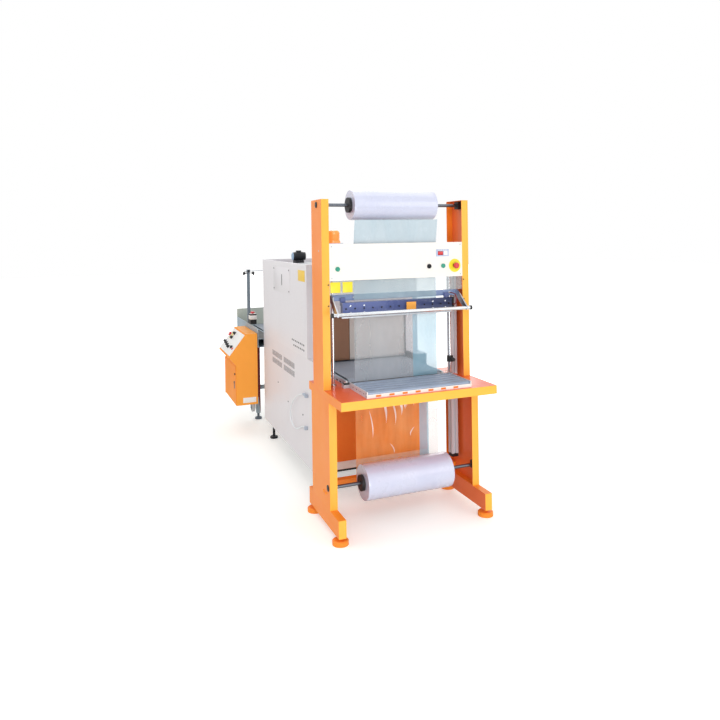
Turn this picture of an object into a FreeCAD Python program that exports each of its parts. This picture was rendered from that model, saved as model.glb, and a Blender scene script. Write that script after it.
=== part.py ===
"""Sleeve sealer with its shrink tunnel and outfeed, for banding goods in film.

X runs across the line, Y runs along it from the infeed to the outfeed, and Z is up.
Lengths are written from the middle of the sealer, the front of its uprights and the floor.
Every finished piece is then moved so that the origin is under the middle of the machine.
"""
import FreeCAD, Part
import math
import os
import re
import Sketcher

DOC = FreeCAD.newDocument("shrink_banding_machine")
SHEET = DOC.addObject("Spreadsheet::Sheet", "Sizes")
NODES = []
SIDES = (("left", -1), ("right", 1))

SIZES = {
    # Sealer frame
    "side_room": 195, "frame_height": 2078, "plate": 4, "flange": 50, "post_room": 30,
    "table_height": 873, "table_lip": 53, "table_front": 326, "table_reach": 102, "lip_return": 22,
    "cheek_gap": 7.2, "cheek_reach": 49, "cheek_base": 155,
    "foot_lead": 154, "foot_tail": 79, "foot_gap": 46, "foot_width": 50,
    "puck_radius": 50, "puck_height": 30, "puck_inset": 42, "stem_radius": 12,
    "tie_depth": 50, "tie_rise": 20, "tie_height": 40,
    "bolt_radius": 9, "bolt_head": 6, "bolt_spread": 20, "bolt_rise": 84,
    # Fits
    "face_gap": 0.3, "shaft_fit": 0.05, "notch_gap": 2,
    # Table opening and lower jaw
    "opening_front": 5, "jaw_inset": 85, "jaw_depth": 40, "jaw_height": 28, "jaw_chamfer": 8,
    # Infeed bed
    "bed_sheet": 6, "bed_inset": 26, "bed_rear": 8, "bed_height": 39, "bed_bar": 4,
    "roller_radius": 20, "roller_lift": 2, "roller_last": 48, "roller_gap": 1.5, "roller_pin": 4,
    # Lift of the jaw
    "rod_inset": 100, "rod_reach": 23, "rod_radius": 8, "rod_ring": 22, "rod_ring_height": 8,
    "beam_drop": 478, "beam_height": 40, "beam_margin": 5,
    "lift_inset": 75, "lift_size": 50, "lift_reach": 32, "lift_rise": 125, "lift_cap": 22,
    "slot_width": 12, "slot_depth": 9,
    "crossbar_inset": 55, "crossbar_gap": 7.5, "crossbar_depth": 20, "crossbar_drop": 175,
    "crossbar_height": 40, "carriage_reach": 28,
    "seal_drop": 8, "seal_height": 102, "seal_shoulder": 25, "blade_half": 6, "blade_height": 15,
    "arm_width": 35, "arm_lap": 22, "arm_rise": 20, "end_block": 18,
    "handle_inset": 30, "handle_front": 80, "handle_drop": 75, "handle_radius": 12.5,
    "cap_length": 14, "cap_radius": 15, "arm_inset": 75, "arm_sheet": 8,
    "clamp_rise": 88, "clamp_height": 40, "clamp_radius": 22, "knob_radius": 13, "knob_length": 30,
    # Cover, guard and controls
    "cover_drop": 286, "cover_height": 233, "cover_sheet": 2, "cover_return": 25,
    "display_inset": 153, "display_drop": 71, "display_width": 96, "display_height": 48,
    "display_depth": 30, "bezel": 4,
    "button_rise": 74, "start_inset": 54, "selector_inset": 255, "reset_inset": 149,
    "stop_inset": 59, "collar_radius": 15, "collar_depth": 8, "button_radius": 11,
    "button_travel": 4, "stop_plate": 45, "mushroom_radius": 20, "mushroom_depth": 14,
    "stop_travel": 5, "stop_stem": 8, "stop_collar": 12,
    "guard_height": 89, "guard_front": 8, "guard_sheet": 3,
    "beacon_inset": 119, "beacon_y": 120, "beacon_radius": 48, "beacon_height": 84,
    "shelf_depth": 100, "shelf_length": 166, "shelf_rise": 2,
    # Film and its rolls
    "film_inset": 35, "film_gap": 6.5, "film_thick": 1,
    "top_roll_shift": 5, "top_roll_drop": 33, "top_roll_radius": 100,
    "low_roll_rise": 130, "low_roll_radius": 112,
    "core_radius": 38, "shaft_radius": 11, "chuck_radius": 50, "chuck_thick": 18, "plug_length": 30,
    "shaft_gap": 2, "block_width": 30, "block_half": 25, "idler_radius": 15, "idler_drop": 42,
    "idler_pin": 6, "idler_gap": 8,
    # Conveyor
    "belt_half": 335, "belt_rise": 39, "belt_thick": 5, "belt_radius": 37, "belt_room": 8,
    "nose_inset": 38, "drum_inset": 40, "drum_pin": 10, "rail_gap": 10, "rail_thick": 13,
    "rail_lead": 7, "rail_drop": 7, "rail_tail": 10,
    # Tunnel
    "tunnel_gap": 45, "tunnel_lead": 168, "tunnel_long": 1546, "base_floor": 168, "sheet": 4,
    "base_rise": 50, "carrier_height": 30, "carrier_depth": 40, "carrier_lead": 220,
    "carrier_tail": 226, "pad_radius": 35, "pad_height": 20, "pad_side": 65, "pad_inset": 80,
    "pan_side": 24, "pan_depth": 34, "pan_rise": 10, "pan_sheet": 2,
    "slot_pitch": 22, "vent_width": 9, "vent_height": 44, "vent_drop": 138, "vent_step": 64,
    "vent_lead": 505, "vent_skip": 385, "vent_count": 15,
    "hood_lead": 148, "hood_height": 684, "hood_sheet": 2, "roof_rim": 20, "roof_recess": 30,
    "portal_rise": 343, "chamber_wall": 55, "chamber_roof": 50, "chamber_gap": 2,
    "curtain_drop": 7, "curtain_inset": 12, "curtain_pin": 4, "curtain_thick": 2,
    "curtain_lift": 10, "curtain_gap": 2, "strip_first": -112, "strip_second": -65,
    "fan_x": -165, "fan_tail": 226, "fan_radius": 110, "fan_drop": 269, "fan_height": 60,
    "fan_hub": 22, "fan_shaft": 8, "fan_clear": 10, "blade_thick": 3,
    "gear_size": 80, "gear_height": 22, "motor_radius": 36, "motor_half": 60, "motor_level": 59,
    "terminal_size": 40, "terminal_height": 16,
    # Outfeed
    "outfeed_side": 55, "outfeed_long": 1024, "outfeed_rise": 95, "stop_rise": 85,
    "leg_side": 125, "leg_size": 40, "leg_lead": 600, "leg_foot": 60, "tie_level": 300,
    "castor_side": 70, "castor_z": 126, "castor_radius": 47.5, "castor_width": 30,
    "castor_pin": 5, "fork_gap": 3, "fork_sheet": 4, "fork_rise": 100, "fork_depth": 44,
    "box_lead": 364, "box_size": 60, "box_depth": 80, "box_height": 85, "box_lid": 15,
    "post_side": 10, "post_lead": 448, "post_size": 28, "post_height": 500, "clamp_size": 32,
    "clamp_tall": 27, "bar_radius": 6, "bar_rise": 14, "bar_tail": 40, "bar_reach": 300,
    "wing_radius": 10, "wing_length": 16, "sensor_size": 24, "sensor_tall": 40,
    # Control cabinet
    "cabinet_gap": 5, "cabinet_deep": 198, "shoulder_deep": 103, "lip_deep": 263,
    "cabinet_lead": 9, "cabinet_long": 565, "cabinet_drop": 45, "cabinet_tall": 650,
    "lip_drop": 205, "chin_drop": 78, "cabinet_sheet": 3,
    "strip_lead": 65, "strip_tail": 60, "strip_drop": 15, "strip_tall": 70,
    "panel_inset": 15, "panel_thick": 3, "panel_stop_inset": 120, "panel_stop_s": 80,
    "panel_knob_inset": 145, "panel_knob_s": 170, "knob_tall": 18, "knob_lever": 5,
    "door_foot": 7, "door_head": 12, "door_inset": 8, "door_lap": 10, "door_sheet": 3,
    "lock_radius": 9, "lock_length": 8,
    "knuckle_radius": 4, "hinge_pin": 2, "hinge_lug": 6, "hinge_reach": 10,
    # Hoses and their fittings
    "air_hose_radius": 5, "elbow_half": 11,
    "jaw_hose_radius": 4, "gland_radius": 7, "gland_length": 10,
    "loop_front": 47.5, "loop_bend": 22.5, "loop_rise": 30, "loop_fall": 47,
}

# Lengths that follow from the sizes above, each written after those that it needs
TERMS = {
    # Across the machine
    "half_width": "belt_half + side_room",
    "web_face": "half_width - plate",
    "flange_edge": "half_width - flange",
    "jaw_half": "flange_edge - jaw_inset",
    "rod_half": "half_width - rod_inset",
    "lift_inner": "half_width - lift_inset",
    "lift_outer": "lift_inner + lift_size",
    "crossbar_half": "half_width - crossbar_inset",
    "carriage_inner": "rod_half - carriage_reach",
    "arm_inner": "jaw_half - arm_width",
    "handle_half": "half_width - handle_inset",
    "handle_arm": "half_width - arm_inset",
    "cover_half": "flange_edge - face_gap",
    "display_x": "flange_edge - display_inset",
    "start_x": "start_inset - flange_edge",
    "selector_x": "flange_edge - selector_inset",
    "reset_x": "flange_edge - reset_inset",
    "stop_x": "flange_edge - stop_inset",
    "beacon_x": "beacon_inset - half_width",
    "shaft_end": "web_face - shaft_gap",
    "film_half": "belt_half - film_inset",
    "rail_inner": "belt_half + rail_gap",
    "rail_outer": "rail_inner + rail_thick",
    "bed_half": "rail_outer",
    "bed_inner": "bed_half - bed_sheet",
    "portal_half": "rail_inner",
    "curtain_half": "portal_half - curtain_gap",
    "chamber_outer": "portal_half + chamber_wall",
    "tunnel_half": "chamber_outer + tunnel_gap",
    "pan_half": "tunnel_half - pan_side",
    "pad_half": "tunnel_half - pad_side",
    "outfeed_half": "tunnel_half + outfeed_side",
    "leg_half": "outfeed_half - leg_side",
    "castor_x": "outfeed_half - castor_side",
    "post_x": "outfeed_half - post_side",
    "bar_left": "post_x + bar_tail",
    "bar_right": "post_x - bar_reach",
    "cabinet_right": "outfeed_half + cabinet_gap",
    "cabinet_left": "cabinet_right + cabinet_deep",
    "shoulder_x": "cabinet_right + shoulder_deep",
    "lip_x": "cabinet_right + lip_deep",
    "door_face": "cabinet_left + face_gap",
    "hinge_x": "-door_face - knuckle_radius",
    "hose_x": "jaw_half + end_block / 2",
    "centre_x": "(half_width + bolt_head - lip_x) / 2",
    # Along the line
    "film_front": "jaw_depth + film_gap",
    "film_rear": "film_front + film_thick",
    "crossbar_front": "film_rear + crossbar_gap",
    "crossbar_rear": "crossbar_front + crossbar_depth",
    "gland_face": "crossbar_front - gland_length",
    "rod_back": "crossbar_rear + rod_reach",
    "lift_front": "rod_back + lift_reach",
    "lift_rear": "lift_front + lift_size",
    "beam_front": "crossbar_front + beam_margin",
    "beam_rear": "lift_rear + beam_margin",
    "post_depth": "lift_rear + post_room",
    "table_rear": "post_depth + table_reach",
    "idler_y": "film_rear + face_gap + idler_radius",
    "top_roll_y": "post_depth / 2 - top_roll_shift",
    "low_roll_y": "film_front - face_gap - low_roll_radius",
    "cheek_front": "block_half - low_roll_y + cheek_gap",
    "cheek_rear": "post_depth + cheek_reach",
    "foot_front": "cheek_front + foot_lead",
    "foot_rear": "cheek_rear + foot_tail",
    "puck_front": "foot_front - puck_inset",
    "puck_rear": "foot_rear - puck_inset",
    "tie_rear": "cheek_rear - plate",
    "bed_front": "table_front - bed_inset",
    "roller_first": "bed_front - bed_bar - roller_gap - roller_radius",
    "roller_pitch": "(roller_first - roller_last) / 4",
    "tunnel_front": "table_rear + tunnel_lead",
    "tunnel_rear": "tunnel_front + tunnel_long",
    "carrier_first": "tunnel_front + carrier_lead",
    "carrier_pitch": "(tunnel_long - carrier_lead - carrier_tail) / 2",
    "vent_first": "tunnel_front + vent_lead",
    "vent_second": "vent_first + vent_skip",
    "hood_front": "tunnel_front + hood_lead",
    "chamber_front": "hood_front + hood_sheet + chamber_gap",
    "chamber_rear": "tunnel_rear - hood_sheet - chamber_gap",
    "fan_y": "tunnel_rear - fan_tail",
    "outfeed_end": "tunnel_rear + outfeed_long",
    "rail_front": "crossbar_front + rail_lead",
    "rail_end": "outfeed_end - rail_tail",
    "nose_y": "rail_front + nose_inset",
    "drum_y": "rail_end - drum_inset",
    "leg_y": "tunnel_rear + leg_lead",
    "box_y": "tunnel_rear + box_lead",
    "post_y": "tunnel_rear + post_lead",
    "cabinet_front": "tunnel_rear + cabinet_lead",
    "cabinet_rear": "cabinet_front + cabinet_long",
    "strip_front": "cabinet_front + strip_lead",
    "strip_rear": "cabinet_rear - strip_tail",
    "panel_stop_y": "cabinet_rear - panel_stop_inset",
    "panel_knob_y": "cabinet_front + panel_knob_inset",
    "hinge_y": "cabinet_rear - door_inset",
    "centre_y": "(outfeed_end + plate - table_front) / 2",
    # Heights
    "lip_base": "table_height - table_lip",
    "tie_base": "cheek_base + tie_rise",
    "bolt_level": "cheek_base + bolt_rise",
    "jaw_top": "table_height + jaw_height",
    "roller_z": "table_height + roller_lift + roller_radius",
    "clamp_base": "table_height + clamp_rise",
    "beam_base": "frame_height - beam_drop",
    "lift_base": "cheek_base + lift_rise",
    "crossbar_base": "beam_base - crossbar_drop",
    "crossbar_top": "crossbar_base + crossbar_height",
    "seal_top": "crossbar_base - seal_drop",
    "seal_base": "seal_top - seal_height",
    "arm_base": "seal_top - arm_lap",
    "arm_top": "crossbar_base + arm_rise",
    "handle_level": "crossbar_base - handle_drop",
    "loop_top": "seal_top + loop_rise",
    "loop_base": "seal_top - loop_fall",
    "cover_top": "frame_height - cover_drop",
    "cover_base": "cover_top - cover_height",
    "display_z": "cover_top - display_drop",
    "button_level": "cover_base + button_rise",
    "guard_base": "cover_base - guard_height",
    "shelf_base": "cover_top + shelf_rise",
    "top_roll_z": "frame_height - top_roll_drop",
    "low_roll_z": "cheek_base + low_roll_rise",
    "idler_z": "cover_top - idler_drop",
    "belt_top": "table_height + belt_rise",
    "belt_z": "belt_top - belt_radius",
    "rail_top": "belt_top - rail_drop",
    "rail_base": "belt_top - belt_radius * 2 - belt_room",
    "base_top": "rail_top + base_rise",
    "carrier_base": "rail_base - carrier_height",
    "pan_base": "base_floor + pan_rise",
    "pan_top": "rail_base - pan_sheet - face_gap",
    "vent_upper": "base_top - vent_drop",
    "vent_lower": "vent_upper - vent_step",
    "hood_top": "base_top + hood_height",
    "roof_floor": "hood_top - roof_recess",
    "portal_top": "belt_top + portal_rise",
    "chamber_top": "portal_top + chamber_roof",
    "curtain_z": "portal_top - curtain_drop",
    "curtain_base": "belt_top + curtain_lift",
    "fan_base": "roof_floor - fan_drop",
    "outfeed_top": "rail_top + outfeed_rise",
    "stop_top": "outfeed_top + stop_rise",
    "fork_top": "castor_z + fork_rise",
    "post_top": "outfeed_top + post_height",
    "bar_z": "post_top + bar_rise",
    "cabinet_top": "outfeed_top - cabinet_drop",
    "cabinet_base": "cabinet_top - cabinet_tall",
    "lip_z": "cabinet_top - lip_drop",
    "chin_z": "lip_z - chin_drop",
    "strip_top": "cabinet_top - strip_drop",
    "strip_base": "strip_top - strip_tall",
    "door_base": "cabinet_base + door_foot",
    "door_top": "chin_z - door_head",
    # Lengths and radii of single pieces
    "belt_inner": "belt_radius - belt_thick",
    "drum_radius": "belt_inner - face_gap",
    "fan_inlet": "fan_radius + fan_clear",
    "web_run": "idler_y - idler_radius - top_roll_y + top_roll_radius",
    "web_drop": "top_roll_z - idler_z",
    "web_long": "sqrt(web_run * web_run + web_drop * web_drop)",
    "slope_run": "lip_x - shoulder_x",
    "slope_drop": "cabinet_top - lip_z",
    "slope_long": "sqrt(slope_run * slope_run + slope_drop * slope_drop)",
}

# Routes of the hoses; the steps of the first are taken outwards, along the line and up
AIR_HOSE_STEPS = [
    (13, 160, 522), (13, 220, 522), (18, 310, 500), (21, 420, 452), (22, 520, 377), (22, 570, 282),
    (21, 505, 220), (19, 400, 216), (14, 300, 252), (13, 240, 284), (13, 180, 284),
]
AIR_HOSE = [(f"-tunnel_half - {out}", f"tunnel_front + {along}", f"base_floor + {up}")
            for out, along, up in AIR_HOSE_STEPS]
JAW_HOSE = [
    ("hose_x", "gland_face", "loop_top"), ("hose_x", "loop_bend - loop_front", "loop_top"),
    ("hose_x", "-loop_front", "loop_top - loop_bend"),
    ("hose_x", "-loop_front", "loop_base + loop_bend"),
    ("hose_x", "loop_bend - loop_front", "loop_base"), ("hose_x", "0", "loop_base"),
]


def write_sizes():
    """Put every size and every length that follows from it in the sheet under its own name."""
    cells = [(alias, str(size)) for alias, size in SIZES.items()]
    cells += [(alias, f"={text}") for alias, text in TERMS.items()]
    for row, (alias, entry) in enumerate(cells, start=1):
        SHEET.set(f"A{row}", alias)
        SHEET.set(f"B{row}", entry)
        SHEET.setAlias(f"B{row}", alias)
    DOC.recompute()


def formula(text):
    """Spell out a length in names of the sheet."""
    def spell(found):
        word = found.group()
        return "Sizes." + word if word in SIZES or word in TERMS else word
    return re.sub(r"[a-z][a-z0-9_]*", spell, str(text))


def number(text):
    """Work a length out in millimetres from the sheet."""
    def look_up(found):
        return f"({float(SHEET.get(found.group(1)))})"
    plain = re.sub(r"Sizes\.([a-z0-9_]+)", look_up, formula(text))
    return FreeCAD.Units.Quantity(plain).Value


def bind(thing, **lengths):
    """Tie properties of an object to lengths of the sheet."""
    for name, text in lengths.items():
        thing.setExpression(name, formula(text))
    return thing


def place(thing, x=0, y=0, z=0):
    """Tie the place of an object to lengths of the sheet."""
    for axis, text in (("x", x), ("y", y), ("z", z)):
        thing.setExpression(f"Placement.Base.{axis}", formula(text))
    return thing


def box(name, x, y, z):
    """Block between three pairs of faces."""
    block = DOC.addObject("Part::Box", name)
    for side, (low, high) in (("Length", x), ("Width", y), ("Height", z)):
        block.setExpression(side, formula(f"({high}) - ({low})"))
    return place(block, x[0], y[0], z[0])


TURNS = {
    "x": FreeCAD.Rotation(FreeCAD.Vector(0, 1, 0), 90),
    "y": FreeCAD.Rotation(FreeCAD.Vector(1, 0, 0), -90),
    "z": FreeCAD.Rotation(),
}


def cylinder(name, axis, along, centre, radius):
    """Round bar along one axis; centre holds the two other coordinates in order."""
    bar = DOC.addObject("Part::Cylinder", name)
    bar.Placement = FreeCAD.Placement(FreeCAD.Vector(), TURNS[axis])
    bind(bar, Radius=radius, Height=f"({along[1]}) - ({along[0]})")
    where = list(centre)
    where.insert("xyz".index(axis), along[0])
    return place(bar, *where)


def join(name, pieces):
    """One solid made of pieces that meet."""
    whole = DOC.addObject("Part::MultiFuse", name)
    whole.Shapes = pieces
    return whole


def group(name, pieces):
    """Several solids kept apart in one object."""
    bundle = DOC.addObject("Part::Compound", name)
    bundle.Links = pieces
    return bundle


def cut(name, base, tools):
    """Take tools that don't touch each other out of a solid."""
    result = DOC.addObject("Part::Cut", name)
    result.Base = base
    result.Tool = tools[0] if len(tools) == 1 else group(f"{name}_tools", tools)
    return result


def pin(sketch, geometry, end, across, up):
    """Tie one point of a sketch to two lengths of the sheet."""
    for kind, text in (("DistanceX", across), ("DistanceY", up)):
        index = sketch.addConstraint(Sketcher.Constraint(kind, -1, 1, geometry, end, number(text)))
        sketch.setExpression(f"Constraints[{index}]", formula(text))


def draw_polygon(sketch, points):
    """Closed outline through points that follow the sheet."""
    corners = [FreeCAD.Vector(number(across), number(up), 0) for across, up in points]
    first = sketch.GeometryCount
    for index, corner in enumerate(corners):
        sketch.addGeometry(Part.LineSegment(corner, corners[(index + 1) % len(corners)]), False)
    for index, (across, up) in enumerate(points):
        following = first + (index + 1) % len(points)
        sketch.addConstraint(Sketcher.Constraint("Coincident", first + index, 2, following, 1))
        pin(sketch, first + index, 1, across, up)


def draw_circle(sketch, across, up, radius):
    """Circle whose centre and radius follow the sheet."""
    centre = FreeCAD.Vector(number(across), number(up), 0)
    upright = FreeCAD.Vector(0, 0, 1)
    index = sketch.addGeometry(Part.Circle(centre, upright, number(radius)), False)
    pin(sketch, index, 3, across, up)
    limit = sketch.addConstraint(Sketcher.Constraint("Radius", index, number(radius)))
    sketch.setExpression(f"Constraints[{limit}]", formula(radius))


PLANES = {"x": "YZ_Plane", "y": "XZ_Plane", "z": "XY_Plane"}


def sketch_on(body, axis, offset, outlines, circles=()):
    """Sketch square to one axis; offset is its place in the plane's own three directions."""
    sketch = body.newObject("Sketcher::SketchObject", f"{body.Name}_sketch")
    plane = next(item for item in body.Origin.OriginFeatures if item.Role == PLANES[axis])
    sketch.AttachmentSupport = [(plane, "")]
    sketch.MapMode = "FlatFace"
    for direction, text in zip("xyz", offset):
        sketch.setExpression(f"AttachmentOffset.Base.{direction}", formula(text))
    for points in outlines:
        draw_polygon(sketch, points)
    for across, up, radius in circles:
        draw_circle(sketch, across, up, radius)
    return sketch


def prism(name, axis, along, outlines, circles=()):
    """Body with a constant outline, padded between two planes square to an axis."""
    body = DOC.addObject("PartDesign::Body", name)
    start = f"-({along[0]})" if axis == "y" else along[0]
    sketch = sketch_on(body, axis, (0, 0, start), outlines, circles)
    pad = body.newObject("PartDesign::Pad", f"{name}_pad")
    pad.Profile = sketch
    pad.Reversed = axis == "y"
    bind(pad, Length=f"({along[1]}) - ({along[0]})")
    sketch.Visibility = False
    return body


def turned(name, axis, centre, points):
    """Body of revolution from points given as place along the axis and radius."""
    body = DOC.addObject("PartDesign::Body", name)
    if axis == "x":
        sketch = sketch_on(body, "y", (0, centre[1], f"-({centre[0]})"), [points])
    elif axis == "y":
        sketch = sketch_on(body, "x", (0, centre[1], centre[0]), [points])
    else:
        upright = [(radius, along) for along, radius in points]
        sketch = sketch_on(body, "y", (centre[0], 0, f"-({centre[1]})"), [upright])
    turn = body.newObject("PartDesign::Revolution", f"{name}_turn")
    turn.Profile = sketch
    turn.ReferenceAxis = (sketch, ["V_Axis" if axis == "z" else "H_Axis"])
    turn.Angle = 360
    return body


def node(name, *pieces):
    """Finished piece of the machine, moved so that the origin is under its middle."""
    finished = group(name, list(pieces))
    finished.Label = name
    place(finished, "-centre_x", "-centre_y", 0)
    NODES.append(finished)
    return finished


def rectangle(across, up):
    """Outline of four corners from two pairs of limits."""
    return [(across[0], up[0]), (across[1], up[0]), (across[1], up[1]), (across[0], up[1])]


def span(sign, inner, outer):
    """Limits across the machine on one side, in rising order."""
    return (inner, outer) if sign > 0 else (f"-({outer})", f"-({inner})")


def both(limit):
    """Limits that reach equally far to both sides."""
    return (f"-({limit})", limit)


def hoop(front, rear, base, top, open_top):
    """C-shaped outline of a flange that runs round three sides."""
    if open_top:
        base, top = top, base
        inner = f"{top} + plate"
    else:
        inner = f"{top} - plate"
    return [(front, base), (front, top), (rear, top), (rear, base), (f"{rear} - plate", base),
            (f"{rear} - plate", inner), (f"{front} + plate", inner), (f"{front} + plate", base)]


def side_frames():
    """Two side frames, each one sheet with the flanges of both its channels."""
    sheet_outline = [
        ("-cheek_front", "cheek_base"), ("cheek_rear", "cheek_base"), ("cheek_rear", "lip_base"),
        ("table_rear", "lip_base"), ("table_rear", "table_height"), ("post_depth", "table_height"),
        ("post_depth", "frame_height"), (0, "frame_height"), (0, "table_height"),
        ("-table_front", "table_height"), ("-table_front", "lip_base"), ("-cheek_front", "lip_base"),
    ]
    for side, sign in SIDES:
        sheet = prism(f"{side}_web", "x", span(sign, "web_face", "half_width"), [sheet_outline],
                      [("idler_y", "idler_z", "idler_pin + shaft_fit")])
        reach = span(sign, "flange_edge", "web_face")
        upper = prism(f"{side}_upper_flange", "x", reach,
                      [hoop("0", "post_depth", "table_height", "frame_height", False)])
        lower = prism(f"{side}_lower_flange", "x", reach,
                      [hoop("-cheek_front", "cheek_rear", "cheek_base", "lip_base", True)])
        node(f"{side}_side_frame", join(f"{side}_frame_solid", [sheet, upper, lower]))


def foot(name, x, y, radius, height, top):
    """Round levelling foot with its stem up to what it carries."""
    edge = f"{height} * 0.8"
    return turned(name, "z", (x, y), [
        (0, 0), (0, radius), (edge, radius), (height, f"{radius} * 0.85"), (height, "stem_radius"),
        (top, "stem_radius"), (top, 0)])


def feet():
    """Foot beams with their tie and bolts, and the levelling feet of sealer and tunnel."""
    parts = [box("tie_beam", both("web_face"), ("tie_rear - tie_depth", "tie_rear"),
                 ("tie_base", "tie_base + tie_height"))]
    pads = []
    for side, sign in SIDES:
        across = span(sign, "half_width - foot_width", "half_width")
        parts.append(box(f"{side}_foot_beam", across, ("-foot_front", "foot_rear"),
                         ("foot_gap", "cheek_base")))
        for place_name, y in (("front", "-bolt_spread"), ("rear", "bolt_spread")):
            parts.append(cylinder(f"{side}_{place_name}_bolt", "x",
                                  span(sign, "half_width", "half_width + bolt_head"),
                                  (y, "bolt_level"), "bolt_radius"))
        middle = f"{sign} * (half_width - foot_width / 2)"
        for place_name, y in (("front", "-puck_front"), ("rear", "puck_rear")):
            pads.append(foot(f"{side}_{place_name}_puck", middle, y, "puck_radius", "puck_height",
                             "foot_gap"))
        for place_name, y in (("front", "tunnel_front + pad_inset"), ("rear", "tunnel_rear - pad_inset")):
            pads.append(foot(f"{side}_{place_name}_pad", f"{sign} * pad_half", y, "pad_radius",
                             "pad_height", "base_floor"))
    node("foot_frame", *parts)
    node("levelling_feet", *pads)


def table():
    """Table tray with its opening, the notches round the uprights and the lower jaw."""
    right = [
        ("web_face", "-table_front"), ("web_face", "-notch_gap"),
        ("flange_edge - notch_gap", "-notch_gap"),
        ("flange_edge - notch_gap", "lift_front - notch_gap"),
        ("lift_inner - notch_gap", "lift_front - notch_gap"),
        ("lift_inner - notch_gap", "post_depth + notch_gap"), ("web_face", "post_depth + notch_gap"),
        ("web_face", "table_rear"), ("rail_outer", "table_rear"), ("rail_outer", "-opening_front"),
    ]
    left = [(f"-({across})", along) for across, along in reversed(right)]
    top = prism("tray_top", "z", ("table_height - plate", "table_height"), [right + left])
    lip = box("tray_lip", both("web_face"), ("-table_front", "-table_front + plate"),
              ("lip_base", "table_height - plate"))
    turn_in = box("tray_return", both("web_face"), ("-table_front + plate", "-table_front + lip_return"),
                  ("lip_base", "lip_base + plate"))
    node("table_tray", join("tray_solid", [top, lip, turn_in]))
    jaw_outline = [
        (0, "table_height"), ("jaw_depth", "table_height"), ("jaw_depth", "jaw_top - jaw_chamfer"),
        ("jaw_depth - jaw_chamfer", "jaw_top"), ("jaw_chamfer", "jaw_top"),
        (0, "jaw_top - jaw_chamfer"),
    ]
    node("lower_jaw", prism("lower_jaw_body", "x", both("jaw_half"), [jaw_outline]))


def roller_places():
    """Places of the infeed rollers along the bed."""
    return [f"roller_pitch * {index} - roller_first" for index in range(5)]


def infeed_bed():
    """Roller bed on the table: a frame of two bored sides and two bars, and its rollers."""
    bores = [(y, "roller_z", "roller_pin + shaft_fit") for y in roller_places()]
    height = ("table_height", "table_height + bed_height")
    frame = []
    for side, sign in SIDES:
        frame.append(prism(f"{side}_bed_side", "x", span(sign, "bed_inner", "bed_half"),
                           [rectangle(("-bed_front", "-bed_rear"), height)], bores))
    for name, front in (("front", "-bed_front"), ("rear", "-bed_rear - bed_bar")):
        frame.append(box(f"{name}_bed_bar", both("bed_inner"), (front, f"{front} + bed_bar"),
                         ("table_height", "roller_z")))
    node("bed_frame", join("bed_solid", frame))
    half = "bed_inner - roller_gap"
    tip = "bed_half"
    profile = [(f"-({tip})", 0), (f"-({tip})", "roller_pin"), (f"-({half})", "roller_pin"),
               (f"-({half})", "roller_radius"), (half, "roller_radius"), (half, "roller_pin"),
               (tip, "roller_pin"), (tip, 0)]
    for index, y in enumerate(roller_places(), start=1):
        node(f"infeed_roller_{index}", turned(f"roller_{index}_body", "x", (y, "roller_z"), profile))


def slotted_bar(name, sign):
    """Square lift profile with a slot along three of its faces."""
    x0, x1 = span(sign, "lift_inner", "lift_outer")
    middle_x = f"({x0} + {x1}) / 2"
    middle_y = "lift_front + lift_size / 2"
    half = "slot_width / 2"
    outline = [
        (x0, "lift_front"), (f"{middle_x} - {half}", "lift_front"),
        (f"{middle_x} - {half}", "lift_front + slot_depth"),
        (f"{middle_x} + {half}", "lift_front + slot_depth"), (f"{middle_x} + {half}", "lift_front"),
        (x1, "lift_front"), (x1, f"{middle_y} - {half}"), (f"{x1} - slot_depth", f"{middle_y} - {half}"),
        (f"{x1} - slot_depth", f"{middle_y} + {half}"), (x1, f"{middle_y} + {half}"),
        (x1, "lift_rear"), (x0, "lift_rear"), (x0, f"{middle_y} + {half}"),
        (f"{x0} + slot_depth", f"{middle_y} + {half}"), (f"{x0} + slot_depth", f"{middle_y} - {half}"),
        (x0, f"{middle_y} - {half}"),
    ]
    return prism(name, "z", ("lift_base + lift_cap", "beam_base - lift_cap"), [outline])


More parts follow.
